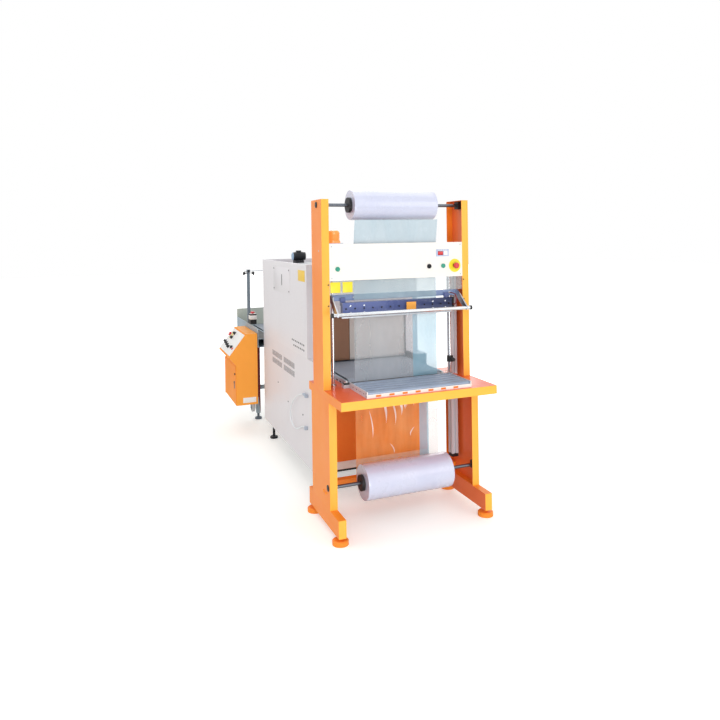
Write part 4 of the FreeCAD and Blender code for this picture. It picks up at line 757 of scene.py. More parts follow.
def hose(name: str, points: Sequence[Point], radius: float, body: str, node: str,
         finish: Finish) -> None:
    """Make a hose as one smooth curve.

    Args:
        name: name of the piece.
        points: route on the drawing.
        radius: radius in millimetres.
        body: body that carries it.
        node: node that it stands for.
        finish: its finish.
    """
    curve = bpy.data.curves.new(name, "CURVE")
    curve.dimensions = "3D"
    curve.bevel_depth = radius / 1000
    curve.bevel_resolution = 4
    curve.resolution_u = 12
    curve.use_fill_caps = True
    line = curve.splines.new("NURBS")
    line.points.add(len(points) - 1)
    for item, point in zip(line.points, points):
        item.co = (*DRAWING.at(*point), 1)
    line.order_u = 3
    line.use_endpoint_u = True
    curve.materials.append(finish.material())
    piece = link_object(name, curve)
    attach(piece, body)
    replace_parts(piece, node)
    DRAWING.at(*points[0])
    LOG.info("%s rides on %s", name, body)


@dataclass(frozen=True)
class Lamp:
    """A large soft lamp: its place on the drawing, power in watts and size in metres."""

    name: str
    place: Point
    power: float
    size: float


@dataclass
class Studio:
    """Camera, lamps, backdrop and floor."""

    eye: Point = (-1773, -3816, 1836)
    turn: float = 21.5
    tilt: float = -0.8
    lens: float = 31.92
    rise: float = -0.171
    floor_half: float = 30.0
    floor_fade: Limits = (1.2, 5.0)
    near_glow: float = 0.3
    room_light: float = 0.62
    aim: Point = (0, 700, 1000)
    lamps: tuple[Lamp, ...] = (
        Lamp("key_lamp", (-2200, -5600, 4300), 96, 3.2),
        Lamp("low_lamp", (-300, -3600, 480), 40, 1.6),
        Lamp("fill_lamp", (3600, -4600, 2600), 45, 3.5),
        Lamp("overhead_lamp", (0, 1200, 5200), 60, 4.5),
        Lamp("side_lamp", (-5200, 1500, 2600), 48, 3.5),
        Lamp("rear_lamp", (2600, 6500, 3600), 60, 3.5),
    )

    def build(self) -> None:
        """Set up everything that isn't part of the machine."""
        self._camera()
        self._world()
        self._floor()
        for lamp in self.lamps:
            self._hang(lamp)

    def _camera(self) -> None:
        """Stand the camera where the photograph was taken."""
        turn, tilt = math.radians(self.turn), math.radians(self.tilt)
        ahead = Vector((math.sin(turn), math.cos(turn), 0))
        right = Vector((math.cos(turn), -math.sin(turn), 0))
        up = Vector((0, 0, 1))
        leaned = right * math.cos(tilt) + up * math.sin(tilt)
        upright = up * math.cos(tilt) - right * math.sin(tilt)
        data = bpy.data.cameras.new("studio_camera")
        data.lens = self.lens
        data.sensor_width = 36
        data.shift_y = self.rise
        data.clip_end = 200
        camera = link_object("studio_camera", data)
        place = Matrix((leaned, upright, -ahead)).transposed().to_4x4()
        place.translation = DRAWING.at(*self.eye)
        camera.matrix_world = place
        bpy.context.scene.camera = camera

    def _world(self) -> None:
        """White backdrop with an even, soft light from all round."""
        world = bpy.data.worlds.new("studio_world")
        world.use_nodes = True
        bpy.context.scene.world = world
        tree = world.node_tree
        back = tree.nodes["Background"].inputs
        path = add_node(tree, "ShaderNodeLightPath").outputs
        straight = combine(tree, path["Is Camera Ray"], path["Is Transmission Ray"], "MAXIMUM")
        level = add_node(tree, "ShaderNodeMapRange", {
            "Value": combine(tree, straight, path["Is Glossy Ray"], "MAXIMUM"),
            "To Min": self.room_light, "To Max": 1.0})
        tree.links.new(level.outputs["Result"], back["Strength"])
        back["Color"].default_value = WHITE

    def _floor(self) -> None:
        """Pale floor that keeps the machine's shadow and fades to white far off."""
        material = bpy.data.materials.new("studio_floor")
        material.use_nodes = True
        tree = material.node_tree
        shader = tree.nodes["Principled BSDF"].inputs
        shader["Base Color"].default_value = linear("F4F5F1")
        shader["Roughness"].default_value = 0.7
        shader["Emission Color"].default_value = WHITE
        place = add_node(tree, "ShaderNodeNewGeometry").outputs["Position"]
        reach = add_node(tree, "ShaderNodeVectorMath", {0: place}, operation="LENGTH")
        start, end = self.floor_fade
        fade = add_node(tree, "ShaderNodeMapRange", {
            "Value": reach.outputs["Value"], "From Min": start, "From Max": end,
            "To Min": self.near_glow, "To Max": 1.0}, interpolation_type="SMOOTHSTEP")
        camera = add_node(tree, "ShaderNodeLightPath").outputs["Is Camera Ray"]
        seen = combine(tree, fade.outputs["Result"], camera)
        tree.links.new(seen, shader["Emission Strength"])
        half = self.floor_half
        corners = [(-half, -half, 0), (half, -half, 0), (half, half, 0), (-half, half, 0)]
        data = bpy.data.meshes.new("studio_floor")
        data.from_pydata(corners, [], [(0, 1, 2, 3)])
        data.materials.append(material)
        floor = link_object("studio_floor", data)

    def _hang(self, lamp: Lamp) -> None:
        """Hang one lamp so that it faces the machine."""
        data = bpy.data.lights.new(lamp.name, "AREA")
        data.energy = lamp.power
        data.size = lamp.size
        hung = link_object(lamp.name, data)
        spot = DRAWING.at(*lamp.place)
        facing = (DRAWING.at(*self.aim) - spot).to_track_quat("-Z", "Y")
        hung.matrix_world = Matrix.Translation(spot) @ facing.to_matrix().to_4x4()


@dataclass
class SealerFrame:
    """Side frames, feet, table tray and their fasteners."""

    half_width: float = 530
    channel_inner: float = 440
    channel_rear: float = 120
    flange_middle: float = 489
    screw_levels: tuple[float, ...] = (1535, 1402)
    shafts: tuple[Limits, ...] = ((100, 2045), (-66, 285))
    cap: Profile = ((0, 20), (3, 20), (4.5, 17), (4.5, 0))
    tunnel_front: float = 400

    def build(self) -> None:
        """Dress the frame and add its fasteners."""
        for side in ("left", "right"):
            dress(f"{side}_side_frame", ORANGE, *self._painted_light_and_shade(self.channel_inner), edge=1.2)
        dress("foot_frame", ORANGE, *self._painted_light_and_shade(0), edge=1.5)
        dress("levelling_feet", ORANGE, Region(DARK, y=(self.tunnel_front, ANYWHERE[1])))
        # The tray takes painted shade, with painted light on its front faces.
        dress("table_tray", SHADED_TABLE_ORANGE, Region(PAINTED_LIGHT_ORANGE, facing=Axis.FRONT), edge=1.0)
        dress("head_beam", STEEL)
        places = [(sign * self.flange_middle, 0, level)
                  for sign, _ in SIDES for level in self.screw_levels]
        set_screws("flange_screws", places, 5, 3, "machine", DARK)
        caps = [((sign * self.half_width, y, z), axis)
                for sign, axis in SIDES for y, z in self.shafts]
        set_turned("bearing_caps", caps, self.cap, 32, "machine", DARK)

    def _painted_light_and_shade(self, inner: float) -> tuple[Region, ...]:
        """Name the faces that take painted light from the front, and the inner webs that take
        painted shade.
        """
        reach = self.half_width - 1
        return (Region(PAINTED_LIGHT_ORANGE, y=(ANYWHERE[0], self.channel_rear), facing=Axis.FRONT),
                Region(SHADED_WEB_ORANGE, x=(inner, reach), facing=Axis.LEFT),
                Region(SHADED_WEB_ORANGE, x=(-reach, -inner), facing=Axis.X))


@dataclass
class FilmPath:
    """Film rolls with their cores, the web from the top roll and the hanging web."""

    half: float = 300
    top: Limits = (100, 2045)
    low: Limits = (-65.8, 285)
    top_radius: float = 100
    low_radius: float = 112
    core_radius: float = 38
    card: float = 7
    core_length: float = 40
    layers: int = 9
    layer_step: float = 1.2
    lengths: int = 46
    swell: float = 0.9
    worn_end: float = 1.6
    web_y: float = 47
    idler_z: float = 1750
    idler_gap: float = 15
    jaw_level: float = 1425
    table_level: float = 846
    side_fold: float = 125
    low_fold: Limits = (165, 235)
    fold_depth: float = 0.8
    crumple: float = 1.4
    glint_gap: float = 4.5
    # Painted highlights on the web: place across, top, length, bend and width of each.
    glints: tuple[tuple[float, float, float, float, float], ...] = (
        (-120, 812, 205, 36, 17), (-78, 815, 225, 62, 12), (-30, 812, 165, 60, 20),
        (14, 812, 120, 52, 10), (92, 806, 120, -40, 24), (150, 800, 100, -34, 10),
        (-205, 700, 180, 24, 8), (-215, 330, 34, 60, 10), (-120, 350, 26, 60, 9),
        (-60, 470, 70, 30, 7), (120, 560, 60, -30, 9),
    )

    def build(self) -> None:
        """Wind the rolls and hang the web."""
        self._roll("top", self.top, self.top_radius)
        self._roll("lower", self.low, self.low_radius)
        for name in ("top_roll_shaft", "lower_roll_shaft"):
            dress(name, BLACK, Region(SHAFT_STEEL, x=(-530, -319)),
                  Region(SHAFT_STEEL, x=(319, 530)))
        dress("bearing_blocks", BLACK, edge=1.5)
        dress("upper_idler", ALUMINIUM)
        self._hanging_web()
        self._upper_web()

    def _roll(self, name: str, axis: Limits, radius: float) -> None:
        """Wind one roll, a little uneven along its length."""
        hole, inner = self.core_radius, self.core_radius + self.card
        end = [(-self.half, inner)]
        for layer in range(1, self.layers):
            share = layer / self.layers
            end.append((-self.half + self.layer_step * (layer % 2),
                        inner + (radius - inner) * share))
        side = []
        for step in range(self.lengths + 1):
            along = -self.half + 2 * self.half * step / self.lengths
            swell = self.swell * noise.noise(Vector((along / 60, radius / 10, 0)))
            worn = self.worn_end if step in (0, self.lengths) else 0.0
            side.append((along, radius - 1.0 + swell - worn))
        other = [(-along, depth) for along, depth in reversed(end)]
        roll = Mould(f"{name}_wound_film").turn((0, *axis), Axis.X, end + side + other, 72)
        piece = roll.set_on(f"{name}_roll", WOUND_FILM, 60)
        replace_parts(piece, f"{name}_film_roll")
        core = Mould(f"{name}_card_core")
        for sign, _ in SIDES:
            near, far = sign * (self.half - self.core_length), sign * self.half
            core.turn((0, *axis), Axis.X, [
                (near, hole), (far, hole), (far, inner), (near, inner), (near, hole)], 48)
        core.set_on(f"{name}_roll", CARD, 30)

    @staticmethod
    def _web(name: str, columns: int, rows: int, point: Callable[[float, float], Vector],
             node: str, size: Limits) -> Piece:
        """Make one thin web.

        Args:
            name: name of the piece.
            columns: faces across.
            rows: faces down.
            point: gives a corner from its shares of the width and the height.
            node: node that the web stands for.
            size: flat width and length in metres; not used.

        Returns:
            The web's object.
        """
        piece = Mould(name).net(columns, rows, point).set_on("machine", WEB_FILM, 180)
        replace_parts(piece, node)
        return piece

    def _hanging_web(self) -> None:
        """Hang the web behind the jaw, with folds that die out at its held edges."""
        top, bottom = self.idler_z - self.idler_gap, self.low[1]

        def point(across: float, down: float) -> Vector:
            """Place one corner of the web."""
            free = math.sin(math.pi * min(1.0, down * 1.02)) ** 0.5 if 0 < down < 1 else 0.0
            fold = math.sin(across * 17 + 1.4 * math.sin(down * 5)) * self.fold_depth
            fold += self.crumple * noise.noise(Vector((across * 4, down * 2.4, 4.0)))
            return DRAWING.at((across * 2 - 1) * self.half, self.web_y + free * fold,
                              top + (bottom - top) * down)

        size = (2 * self.half / 1000, (top - bottom) / 1000)
        web = self._web("hanging_web", 60, 90, point, "film_curtain", size)
        below = (-1, self.table_level)
        # Below the table the web carries painted light from the orange pan behind it.
        paint(web.data, WEB_FILM, Region(WEB_UPPER, z=(self.jaw_level, ANYWHERE[1])),
              Region(LOWER_FILM_GLOW, z=below),
              Region(WEB_SIDE, x=(self.side_fold, ANYWHERE[1]),
                     z=(self.table_level, self.jaw_level)),
              Region(WEB_SIDE, x=self.low_fold, z=below),
              Region(WEB_EDGE, x=(self.low_fold[1], ANYWHERE[1]), z=below))
        ribbons = Mould("web_glint_ribbons")
        for glint in self.glints:
            self._glint(ribbons, *glint)
        ribbons.set_on("machine", FILM_GLINT, 180)

    def _glint(self, ribbons: Mould, x: float, top: float, drop: float, bow: float,
                wide: float) -> None:
        """Add one painted highlight of the web under the table: a thin curved white ribbon along a
        fold.

        Args:
            ribbons: piece that collects them.
            x: place of its top.
            top: height of its top.
            drop: its length.
            bow: how far it bends aside.
            wide: its greatest width.
        """
        def point(across: float, down: float) -> Vector:
            """Place one corner of the ribbon."""
            middle = x + bow * math.sin(math.pi * down * 0.62)
            half = wide * math.sin(math.pi * min(0.98, down + 0.02)) / 2
            return DRAWING.at(middle + (across * 2 - 1) * half, self.web_y - self.glint_gap,
                              top - drop * down)

        ribbons.net(1, 18, point)

    def _upper_web(self) -> None:
        """Draw the web from the top roll to the idler behind the cover."""
        low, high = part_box("upper_film")
        size = high - low

        def point(across: float, down: float) -> Vector:
            """Place one corner of the web."""
            wave = 0.0006 * math.sin(across * 11 + down * 3) * math.sin(math.pi * down)
            return Vector((low.x + size.x * across, low.y + size.y * down + wave,
                           high.z - size.z * down))

        flat = (size.x, math.hypot(size.y, size.z))
        web = self._web("upper_web", 40, 24, point, "upper_film", flat)
        roll_bottom = self.top[1] - self.top_radius
        paint(web.data, WEB_UPPER, Region(WEB_WOUND, z=(roll_bottom, ANYWHERE[1])))


@dataclass
class Jaw:
    """Lift, crossbar, seal bar, handle and the guard over them."""

    half: float = 395
    seal_levels: Limits = (1352, 1396)
    bolt_pitch: float = 62
    bolt_level: float = 1378
    end_bolts: tuple[float, ...] = (-342, -248, 248, 342)
    crossbar: Limits = (55, 1445)
    crossbar_bolts: tuple[float, ...] = (-440, -300, -150, 0, 150, 300)
    plate: tuple[Box, ...] = (((52, 122), (-5.4, -4.2), (1342, 1402)),
                              ((60, 114), (-4.4, 0), (1350, 1394)))
    marks: tuple[float, ...] = (-440, -357)
    route: tuple[Point, ...] = (
        (404, 45, 1447), (404, -25, 1447), (404, -47.5, 1424.5), (404, -47.5, 1392.5),
        (404, -25, 1370), (404, 0, 1370),
    )

    def build(self) -> None:
        """Dress the jaw and add its fasteners, plates and hose."""
        dress("guide_rods", CHROME, Region(BLACK, x=(400, 470), y=(30, 130), z=(950, 1010)))
        dress("lift_actuators", LIFT, Region(BLACK, z=(275, 303)), Region(BLACK, z=(1577, 1605)))
        dress("jaw_crossbar", JAW_BLUE, Region(CHROME, x=(396, 412), y=(40, 54.9)), edge=1.0)
        dress("jaw_carriages", ALUMINIUM, edge=1.0)
        dress("seal_bar", SEAL_BLUE, Region(BLACK, x=(395.5, 420)),
              Region(STEEL, z=(1310, 1331)), edge=0.8)
        dress("lower_jaw", LOWER_GREY, Region(BLACK, z=(898, 902)), edge=0.8)
        dress("handle_bar", CHROME,
              Region(BLACK, x=(-505, -485.5)), Region(BLACK, x=(485.5, 505)),
              Region(STEEL, x=(-464, -454)), Region(STEEL, x=(454, 464)))
        dress("safety_guard", CLEAR)
        steps = int(self.half // self.bolt_pitch)
        places = [(step * self.bolt_pitch, 0, self.bolt_level) for step in range(-steps, steps + 1)]
        set_screws("seal_bar_bolts", places, 5.5, 4, "jaw", DARK)
        places = [(x, 0, level) for x in self.end_bolts for level in self.seal_levels]
        set_screws("seal_bar_end_bolts", places, 6.5, 5, "jaw", CHROME)
        places = [(x, *self.crossbar) for x in self.crossbar_bolts]
        set_screws("crossbar_bolts", places, 6, 4, "jaw", STEEL)
        set_blocks("seal_bar_plate", self.plate, 0.5, "jaw", PLATE_ORANGE)
        marks = [((x - 34, x + 34), (6.2, 8), (1482, 1550)) for x in self.marks]
        set_blocks("guard_plates", marks, 0.6, "machine", YELLOW)
        hose("jaw_air_hose", self.route, 4, "jaw", "jaw_hose", RED_HOSE)


@dataclass
class ControlCover:
    """Front cover with its buttons, display, emergency stop and the beacon behind it."""

    display: Limits = (327, 1721)
    digit: Limits = (7, 17)
    digit_pitch: float = 12
    key_pitch: float = 18
    stroke: float = 1.8
    collar_y: Limits = (-12.5, -0.5)
    button_z: Limits = (1600, 1660)
    screw_middle: float = 465
    screw_levels: Limits = (1575, 1776)
    beacon: Point = (-411, 120, 1798)
    ribs: int = 9
    rib_pitch: float = 4.6
    base: Profile = ((0, 0), (0, 47.5), (12, 47.5), (16, 45), (16, 0))

    def build(self) -> None:
        """Dress the cover and add its small pieces."""
        dress("front_cover", CREAM, Region(BEZEL, x=(272, 382), y=(-5, 40), z=(1690, 1750)),
              Region(GREEN, y=self.collar_y, z=self.button_z),
              Region(DARK, x=(200, 250), y=self.collar_y, z=self.button_z),
              Region(YELLOW, x=(370, 480), y=(-3, -0.5), z=(1580, 1690)),
              Region(BLACK, x=(400, 440), y=(-15, -3), z=(1610, 1656)))
        for node, finish in (("start_button", GREEN), ("reset_button", GREEN),
                             ("mode_selector", BLACK), ("estop_button", RED)):
            dress(node, finish)
        x, z = self.display
        glass = (z - 16, z + 12)
        window = ((x - 36, x + 4), (-5.2, -4), glass)
        set_blocks("display_window", [window], 0.5, "machine", RED_WINDOW)
        panel = Mould("display_panel").block((x + 10, x + 38), (-5, -4), glass, 0.5)
        for left in row(x - 34, self.key_pitch, 4):
            panel.block((left, left + 12), (-5.4, -4), (z + 15.5, z + 20), 0.4)
        panel.set_on("machine", PANEL_WHITE)
        digits = Mould("display_digits")
        for middle in row(x - 16 - self.digit_pitch, self.digit_pitch, 3):
            self._zero(digits, middle, z - 2)
        digits.set_on("machine", RED_GLOW)
        places = [(sign * self.screw_middle, 0, level)
                  for sign, _ in SIDES for level in self.screw_levels]
        set_screws("cover_screws", places, 4.5, 3, "machine", STEEL)
        self._beacon()

    def _zero(self, digits: Mould, x: float, z: float) -> None:
        """Draw a nought of straight strokes."""
        wide, tall = self.digit
        depth, half = (-5.8, -5.2), self.stroke / 2
        across, up = wide / 2 - 2, tall / 2 - 2
        for side, _ in SIDES:
            edge, end = x + side * wide / 2, z + side * tall / 2
            digits.block((edge - half, edge + half), depth, (z - up, z + up), 0.3)
            digits.block((x - across, x + across), depth, (end - half, end + half), 0.3)

    def _beacon(self) -> None:
        """Turn the beacon with its base and ribbed lens."""
        profile = [(16, 0), (16, 43.5)]
        for height in row(18, self.rib_pitch, self.ribs):
            profile += [(height, 44), (height + self.rib_pitch / 2, 42.4)]
        profile += [(66, 43.4), (76, 40), (82, 32), (83.5, 20), (83.5, 0)]
        lens = Mould("beacon_lens").turn(self.beacon, Axis.Z, profile, 56)
        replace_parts(lens.set_on("machine", AMBER, 25), "beacon")
        # The base takes the glowing amber finish too: a painted glow, as the base gives no light.
        set_turned("beacon_base", [(self.beacon, Axis.Z)], self.base, 56, "machine", AMBER)


@dataclass
class InfeedBed:
    """Roller bed on the table."""

    half: float = 358
    first: float = -274.5
    pitch: float = 56.625
    count: int = 5
    level: float = 895
    roller_end: float = 348.6
    end: Profile = ((0, 19.3), (1.9, 18.8), (1.9, 8), (0.8, 7), (0.8, 4.2))
    hole: Profile = ((0, 4.5), (0.5, 4.5), (0.5, 0))
    openings: int = 7
    opening_first: float = -300
    opening_pitch: float = 88
    holes: tuple[Limits, ...] = (
        (-288, 903), (-288, 883), (-250, 893), (-190, 893), (-130, 893), (-70, 893))

    def build(self) -> None:
        """Dress the bed and cap its rollers."""
        dress("bed_frame", BED_GREY, Region(CREAM, facing=Axis.FRONT), edge=0.8)
        openings = [((start, start + 34), (-300.8, -299.4), (878, 890))
                    for start in row(self.opening_first, self.opening_pitch, self.openings)]
        set_blocks("bed_front_openings", openings, 0.3, "machine", PAN_ORANGE)
        holes = [((sign * self.half, y, z), axis) for sign, axis in SIDES for y, z in self.holes]
        set_turned("bed_side_holes", holes, self.hole, 20, "machine", DARK)
        for index, y in enumerate(row(self.first, self.pitch, self.count), start=1):
            name = f"infeed_roller_{index}"
            dress(name, ROLLER_STEEL)
            ends = [((sign * self.roller_end, y, self.level), axis) for sign, axis in SIDES]
            set_turned(f"roller_ends_{index}", ends, self.end, 32, name, BLACK)


@dataclass
class ConveyorLine:
    """Rails, belt and rollers between the jaw and the end of the line."""

    rail_face: float = 358
    slots: int = 6
    slot_first: float = 92
    slot_pitch: float = 62
    slot_length: float = 34

    def build(self) -> None:
        """Dress the conveyor and paint the rails' slots in as dark shade."""
        dress("conveyor_rails", PANEL_WHITE, Region(OUTFEED_GREY, y=(600, 3200)), edge=0.8)
        dress("conveyor_belt", BELT)
        dress("nose_roller", STEEL)
        dress("drive_drum", STEEL)
        # Painted shade: the slots are dark blocks on the rails' faces, not cut openings.
        slots = [(span(sign * (self.rail_face - 0.3), sign * (self.rail_face + 0.4)),
                  (start, start + self.slot_length), (876, 886)) for sign, _ in SIDES
                 for start in row(self.slot_first, self.slot_pitch, self.slots)]
        set_blocks("rail_slot_shade", slots, 0.2, "machine", DARK)


@dataclass
class TunnelHousing:
    """Base, hood, chamber, curtains, roof motor and the air hose at the side."""

    half: float = 445
    panel_y: Limits = (1082, 1612)
    panel_z: Limits = (1388, 1598)
    panel_thick: float = 2
    panel_inset: Limits = (22, 20)
    base_screws: tuple[Limits, ...] = ((1500, 610), (1180, 520), (760, 520))
    slit: tuple[float, float, float] = (1325, 1446, 1537)
    slot_rows: tuple[tuple[float, int], ...] = ((1042, 8), (1004, 7))
    slot_first: float = 706
    slot_pitch: float = 45
    louvre_y: tuple[float, ...] = (985, 1370)
    louvre_z: Limits = (748, 866)
    louvre_length: float = 317
    coupling: Profile = ((0, 5.2), (0, 10), (30, 10), (34, 8), (48, 8), (48, 5.2))
    ribs: int = 9
    rib: Profile = ((0, 36), (0.6, 39), (2.6, 39), (3.2, 36))
    rib_first: float = -206
    rib_axis: Limits = (1800, 1668)
    rib_pitch: float = 10
    curtain_edge: float = 349
    curtain_sway: float = 0.0022
    cloth_thickness: float = 0.0012
    rod_radius: float = 4
    # The brown strip carries painted shade; the other two are the curtain's pale cloth.
    strips: tuple[tuple[str, float, float, Finish], ...] = (
        ("brown", -343, -112, SHADED_CLOTH), ("middle", -110, -65, PALE_CLOTH),
        ("pale", -63, 343, PALE_CLOTH))
    route: tuple[Point, ...] = (
        (-458, 640, 690), (-458, 700, 690), (-463, 790, 668), (-466, 900, 620), (-467, 1000, 545),
        (-467, 1050, 450), (-466, 985, 388), (-464, 880, 384), (-459, 780, 420), (-458, 720, 452),
        (-458, 660, 452),
    )

    def build(self) -> None:
        """Dress the tunnel and add its panels, motor ribs and curtains."""
        walls = self.half - 0.2
        along = (self.louvre_y[0] - 5, self.louvre_y[1] + self.louvre_length + 5)
        dress("base_panels", TUNNEL_GREY,
              Region(COUPLING, x=(-475, -445.5), y=(600, 680), z=(420, 720)),
              # Painted shade: the louvre faces are dark for the shade inside the base.
              Region(DARK, x=(-walls, -400), y=along, z=self.louvre_z),
              Region(DARK, x=(400, walls), y=along, z=self.louvre_z), edge=0.4)
        dress("base_front_cover", PAN_ORANGE, edge=1.2)
        # The black strip is painted shadow in the gap under the pan; the cream strip is the base's
        # lower rail.
        for name, z, finish in (("pan_cream_strip", (193, 247), CREAM),
                                ("pan_shadow_strip", (178.4, 192), BLACK)):
            set_blocks(name, [((-419, 419), (444.2, 446), z)], 0.6, "machine", finish)
        dress("hood_shell", TUNNEL_GREY, Region(ROOF_GREY, z=(1600, 1612)), edge=1.2)
        dress("tunnel_chamber", CHAMBER)
        dress("fan_impeller", ALUMINIUM)
        dress("fan_motor", DARK, Region(MOTOR_BLUE, x=(-226, -214)))
        for side, (sign, axis) in zip(("left", "right"), SIDES):
            self._panels(side, sign, axis)
        plate = ((-self.half - 1.6, -self.half), (668, 844), (1512, 1594))
        set_blocks("hood_plate", [plate], 0.6, "machine", HOOD_YELLOW)
        start = ((-458, 652, 690), Axis.Y)
        set_turned("hose_coupling", [start], self.coupling, 28, "machine", COUPLING)
        ribs = [((x, *self.rib_axis), Axis.X)
                for x in row(self.rib_first, self.rib_pitch, self.ribs)]
        set_turned("motor_ribs", ribs, self.rib, 40, "machine", DARK)
        for name in ("entrance", "exit"):
            self._curtain(name)
        hose("tunnel_air_hose", self.route, 5, "machine", "air_hose", WHITE_HOSE)

    def _panels(self, side: str, sign: int, axis: Axis) -> None:
        """Screw the service panel to one side of the hood, and put a dark sheet of painted shade
        behind the louvres.

        Args:
            side: name of the side.
            sign: its direction across the machine.
            axis: the way out of it.
        """
        face = sign * self.half
        outside = face + sign * self.panel_thick
        panel = (span(face, outside), self.panel_y, self.panel_z)
        set_blocks(f"{side}_service_panel", [panel], 0.8, "machine", TUNNEL_GREY)
        inset_y, inset_z = self.panel_inset
        places = [(outside, y, z) for y in (self.panel_y[0] + inset_y, self.panel_y[1] - inset_y)
                  for z in (self.panel_z[0] + inset_z, self.panel_z[1] - inset_z)]
        places += [(face, y, z) for y, z in self.base_screws]
        set_screws(f"{side}_panel_screws", places, 6, 3, "machine", DARK, axis)
        slit = Mould(f"{side}_panel_slit")
        middle, low, high = self.slit
        rim = span(outside, outside + sign * self.panel_thick)
        slit.block(rim, (middle - 5, middle + 5), (low, high), 0.8)
        # The vent slots are dark blocks on the wall: painted shade in place of cut openings.
        x = span(face - sign, face + sign * 0.7)
        for level, count in self.slot_rows:
            for start in row(self.slot_first, self.slot_pitch, count):
                slit.block(x, (start, start + 22), (level - 6, level + 6), 0.3)
        slit.set_on("machine", DARK)
        # Painted shade: dark sheets just inside the walls behind the louvres.
        shade_sheets = [(span(face - sign * 6, face - sign * 4), (start, start + self.louvre_length),
                    self.louvre_z) for start in self.louvre_y]
        set_blocks(f"{side}_louvre_shade_sheet", shade_sheets, 0.5, "machine", DARK)

    def _curtain(self, name: str) -> None:
        """Hang the three strips of one curtain from their rod."""
        low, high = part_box(f"{name}_curtain")
        y = (low.y + high.y) / 2
        top = high.z - self.rod_radius / 1000
        made = []
        for label, left, right, finish in self.strips:

            def point(across: float, down: float) -> Vector:
                """Place one corner of the strip."""
                x = left + (right - left) * across
                sway = self.curtain_sway * math.sin(x / 38) * down ** 1.5
                return Vector((DRAWING.at(x, 0, 0).x, y + sway, top + (low.z - top) * down))

            sheet = Mould(f"{name}_{label}_strip")
            sheet.net(max(4, int((right - left) / 12)), 16, point)
            piece = sheet.set_on(f"{name}_curtain", finish, 180)
            piece.modifiers.new("cloth_thickness", "SOLIDIFY").thickness = self.cloth_thickness
            made.append(piece)
        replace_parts(made[0], f"{name}_curtain")
        rod = Mould(f"{name}_curtain_rod")
        start = Vector((DRAWING.at(-self.curtain_edge, 0, 0).x, y, top))
        length, radius = 2 * self.curtain_edge, self.rod_radius
        rod.turn_about(start, Vector(Axis.X.value), [
            (0, 0), (0, radius), (length, radius), (length, 0)], 24)
        rod.set_on(f"{name}_curtain", STEEL)


@dataclass
class OutfeedEnd:
    """Outfeed covers, legs with castors, the emergency stop and the sensor post."""

    castor: Point = (430, 2626, 126)
    tyre: Profile = ((0, 33), (0, 42), (3, 46), (8, 47.3), (22, 47.3), (27, 46), (30, 42),
                     (30, 33), (27, 32), (3, 32), (0, 33))
    hub: Profile = ((0, 5.1), (0, 12), (6, 14), (6, 28), (3, 32), (27, 32), (24, 28), (24, 14),
                    (30, 12), (30, 5.1))
    box_x: Limits = (-501, -439)
    box_y: Limits = (2349, 2431)
    lid_z: Limits = (1046, 1085.5)
    clamp: Limits = (2456, 1494)
    clamp_sides: tuple[tuple[float, Axis], ...] = ((-506, Axis.LEFT), (-474, Axis.X))

    def build(self) -> None:
        """Dress the outfeed and turn its castors."""
        dress("outfeed_covers", OUTFEED_GREY, Region(END_GUARD, y=(3049, 3060)),
              Region(DARK, x=(-497, 497), z=(890, 906), facing=Axis.Z),
              Region(BLACK, x=self.box_x, y=self.box_y, z=(1001, 1086)),
              Region(PANEL_WHITE, x=self.box_x, y=self.box_y, z=(1086, 1105)), edge=1.0)
        dress("outfeed_estop", RED)
        lid = [(x, (2348, 2432), self.lid_z) for x in ((-502, -500.2), (-439.8, -438))]
        lid += [(self.box_x, y, self.lid_z) for y in ((2348, 2349.8), (2430.2, 2432))]
        set_blocks("stop_box_lid", lid, 0.6, "machine", PANEL_WHITE)
        dress("outfeed_legs", OUTFEED_GREY, Region(FOOT_GREY, z=(-1, 59)),
              Region(LEG_RED, x=(-520, -300), z=(200, 827)), edge=1.0)
        knobs = Mould("post_wing_knobs")
        for x, axis in self.clamp_sides:
            self._wing_knob(knobs, x, axis)
        knobs.set_on("machine", BLACK)
        dress("sensor_post", POST_GREY, Region(BLACK, y=(2430, 2457.9)),
              Region(BLACK, y=(2490.1, 2520)), edge=0.8)
        dress("sensor_rod", CHROME, Region(BLACK, x=(-190.5, -150)))
        for side, (sign, _) in zip(("left", "right"), SIDES):
            self._castor(side, sign)

    def _wing_knob(self, knobs: Mould, x: float, axis: Axis) -> None:
        """Add one clamp knob with two wings beside the post."""
        y, z = self.clamp
        knobs.turn((x, y, z), axis, [
            (0, 5), (14, 5), (16, 10), (24, 13), (38, 12), (42, 8), (42, 0)], 28)
        sign = axis.value[0]
        knobs.block(span(x + sign * 26, x + sign * 38), (y - 12, y + 6), (z - 22, z + 8), 2.5)

    def _castor(self, side: str, sign: int) -> None:
        """Turn one castor with its tyre and hub."""
        x, y, z = self.castor
        body, start = f"castor_wheel_{side}", [((sign * x - 15, y, z), Axis.X)]
        piece = set_turned(f"{side}_castor_tyre", start, self.tyre, 56, body, TYRE)
        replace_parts(piece, f"castor_wheel_{side}")
        set_turned(f"{side}_castor_hub", start, self.hub, 40, body, BLACK)


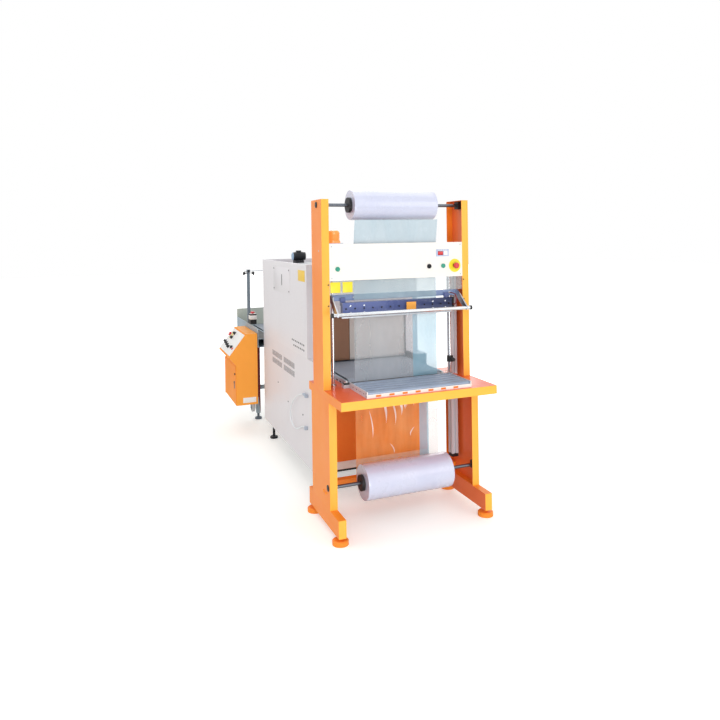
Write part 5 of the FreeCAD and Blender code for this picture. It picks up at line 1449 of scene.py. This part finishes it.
@dataclass
class ControlCabinet:
    """Control cabinet with its door, sloped plate and controls."""

    edge: Limits = (-608, 955)
    lip: Limits = (-768, 750)
    front: float = 2035
    knob: Profile = ((0, 17), (4, 17), (5, 13), (20, 12), (24, 9), (24, 0))
    knobs: tuple[Limits, ...] = (
        (186, 2290), (178, 2370), (170, 2450), (164, 2530), (52, 2395), (100, 2400))
    lamp: Profile = ((0, 11), (4, 11), (8, 8), (9.5, 0))
    lamps: tuple[Limits, ...] = ((178, 2200), (178, 2120))
    ring: Profile = ((0, 15.2), (0, 38), (1.5, 38), (1.5, 15.2))
    ring_place: Limits = (80, 2480)

    def build(self) -> None:
        """Dress the cabinet and add its knobs, lamps and plates."""
        dress("control_cabinet", CABINET_ORANGE, Region(DOOR_ORANGE, facing=Axis.LEFT), edge=1.2)
        dress("cabinet_door", DOOR_ORANGE, Region(DARK, x=(-720, -707.5), y=(2040, 2200)),
              edge=0.8)
        dress("console_plate", PANEL_WHITE)
        dress("console_estop", RED)
        dress("console_selector", BLACK)
        self._controls("console_knobs", self.knobs, self.knob, 28, BLACK)
        self._controls("console_lamps", self.lamps, self.lamp, 28, RED)
        self._controls("console_stop_ring", (self.ring_place,), self.ring, 40, YELLOW)
        plate = ((-642, -522), (self.front - 1.5, self.front), (325, 372))
        set_blocks("cabinet_front_plate", [plate], 0.5, "machine", PANEL_WHITE)
        lock = Mould("door_lock")
        lock.block((-709.6, -707.3), (2094, 2118), (452, 520), 1.0)
        lock.turn((-709.4, 2106, 508), Axis.LEFT, [(0, 9), (3, 9), (4, 7), (4, 0)], 28)
        lock.set_on("cabinet_door", SHAFT_STEEL)

    def _controls(self, name: str, places: Iterable[Limits], profile: Profile, steps: int,
                  finish: Finish) -> None:
        """Turn alike controls on the sloped plate.

        Args:
            name: name of the piece.
            places: distance down the plate and place along the line of each.
            profile: pairs of height above the plate and radius.
            steps: faces round each.
            finish: their finish.
        """
        drop, run = self.edge[1] - self.lip[1], self.edge[0] - self.lip[0]
        normal = Vector((-drop, 0, run)).normalized()
        down = Vector((-run, 0, -drop)).normalized()
        controls = Mould(name)
        for along, y in places:
            start = DRAWING.at(self.edge[0], y, self.edge[1]) + down * along / 1000
            controls.turn_about(start + normal * 0.003, normal, profile, steps)
        controls.set_on("machine", finish)


def main() -> None:
    """Build the studio and every sub-assembly in order."""
    logging.basicConfig(level=logging.INFO, format="%(name)s: %(message)s")
    scene = bpy.context.scene
    scene.view_settings.view_transform = "Standard"
    sections = (Studio(), TunnelHousing(), Jaw(), SealerFrame(), FilmPath(), ControlCover(),
                InfeedBed(), ConveyorLine(), OutfeedEnd(), ControlCabinet())
    for section in sections:
        section.build()
        LOG.info("%s is done", type(section).__name__)


if __name__ == "__main__":
    main()
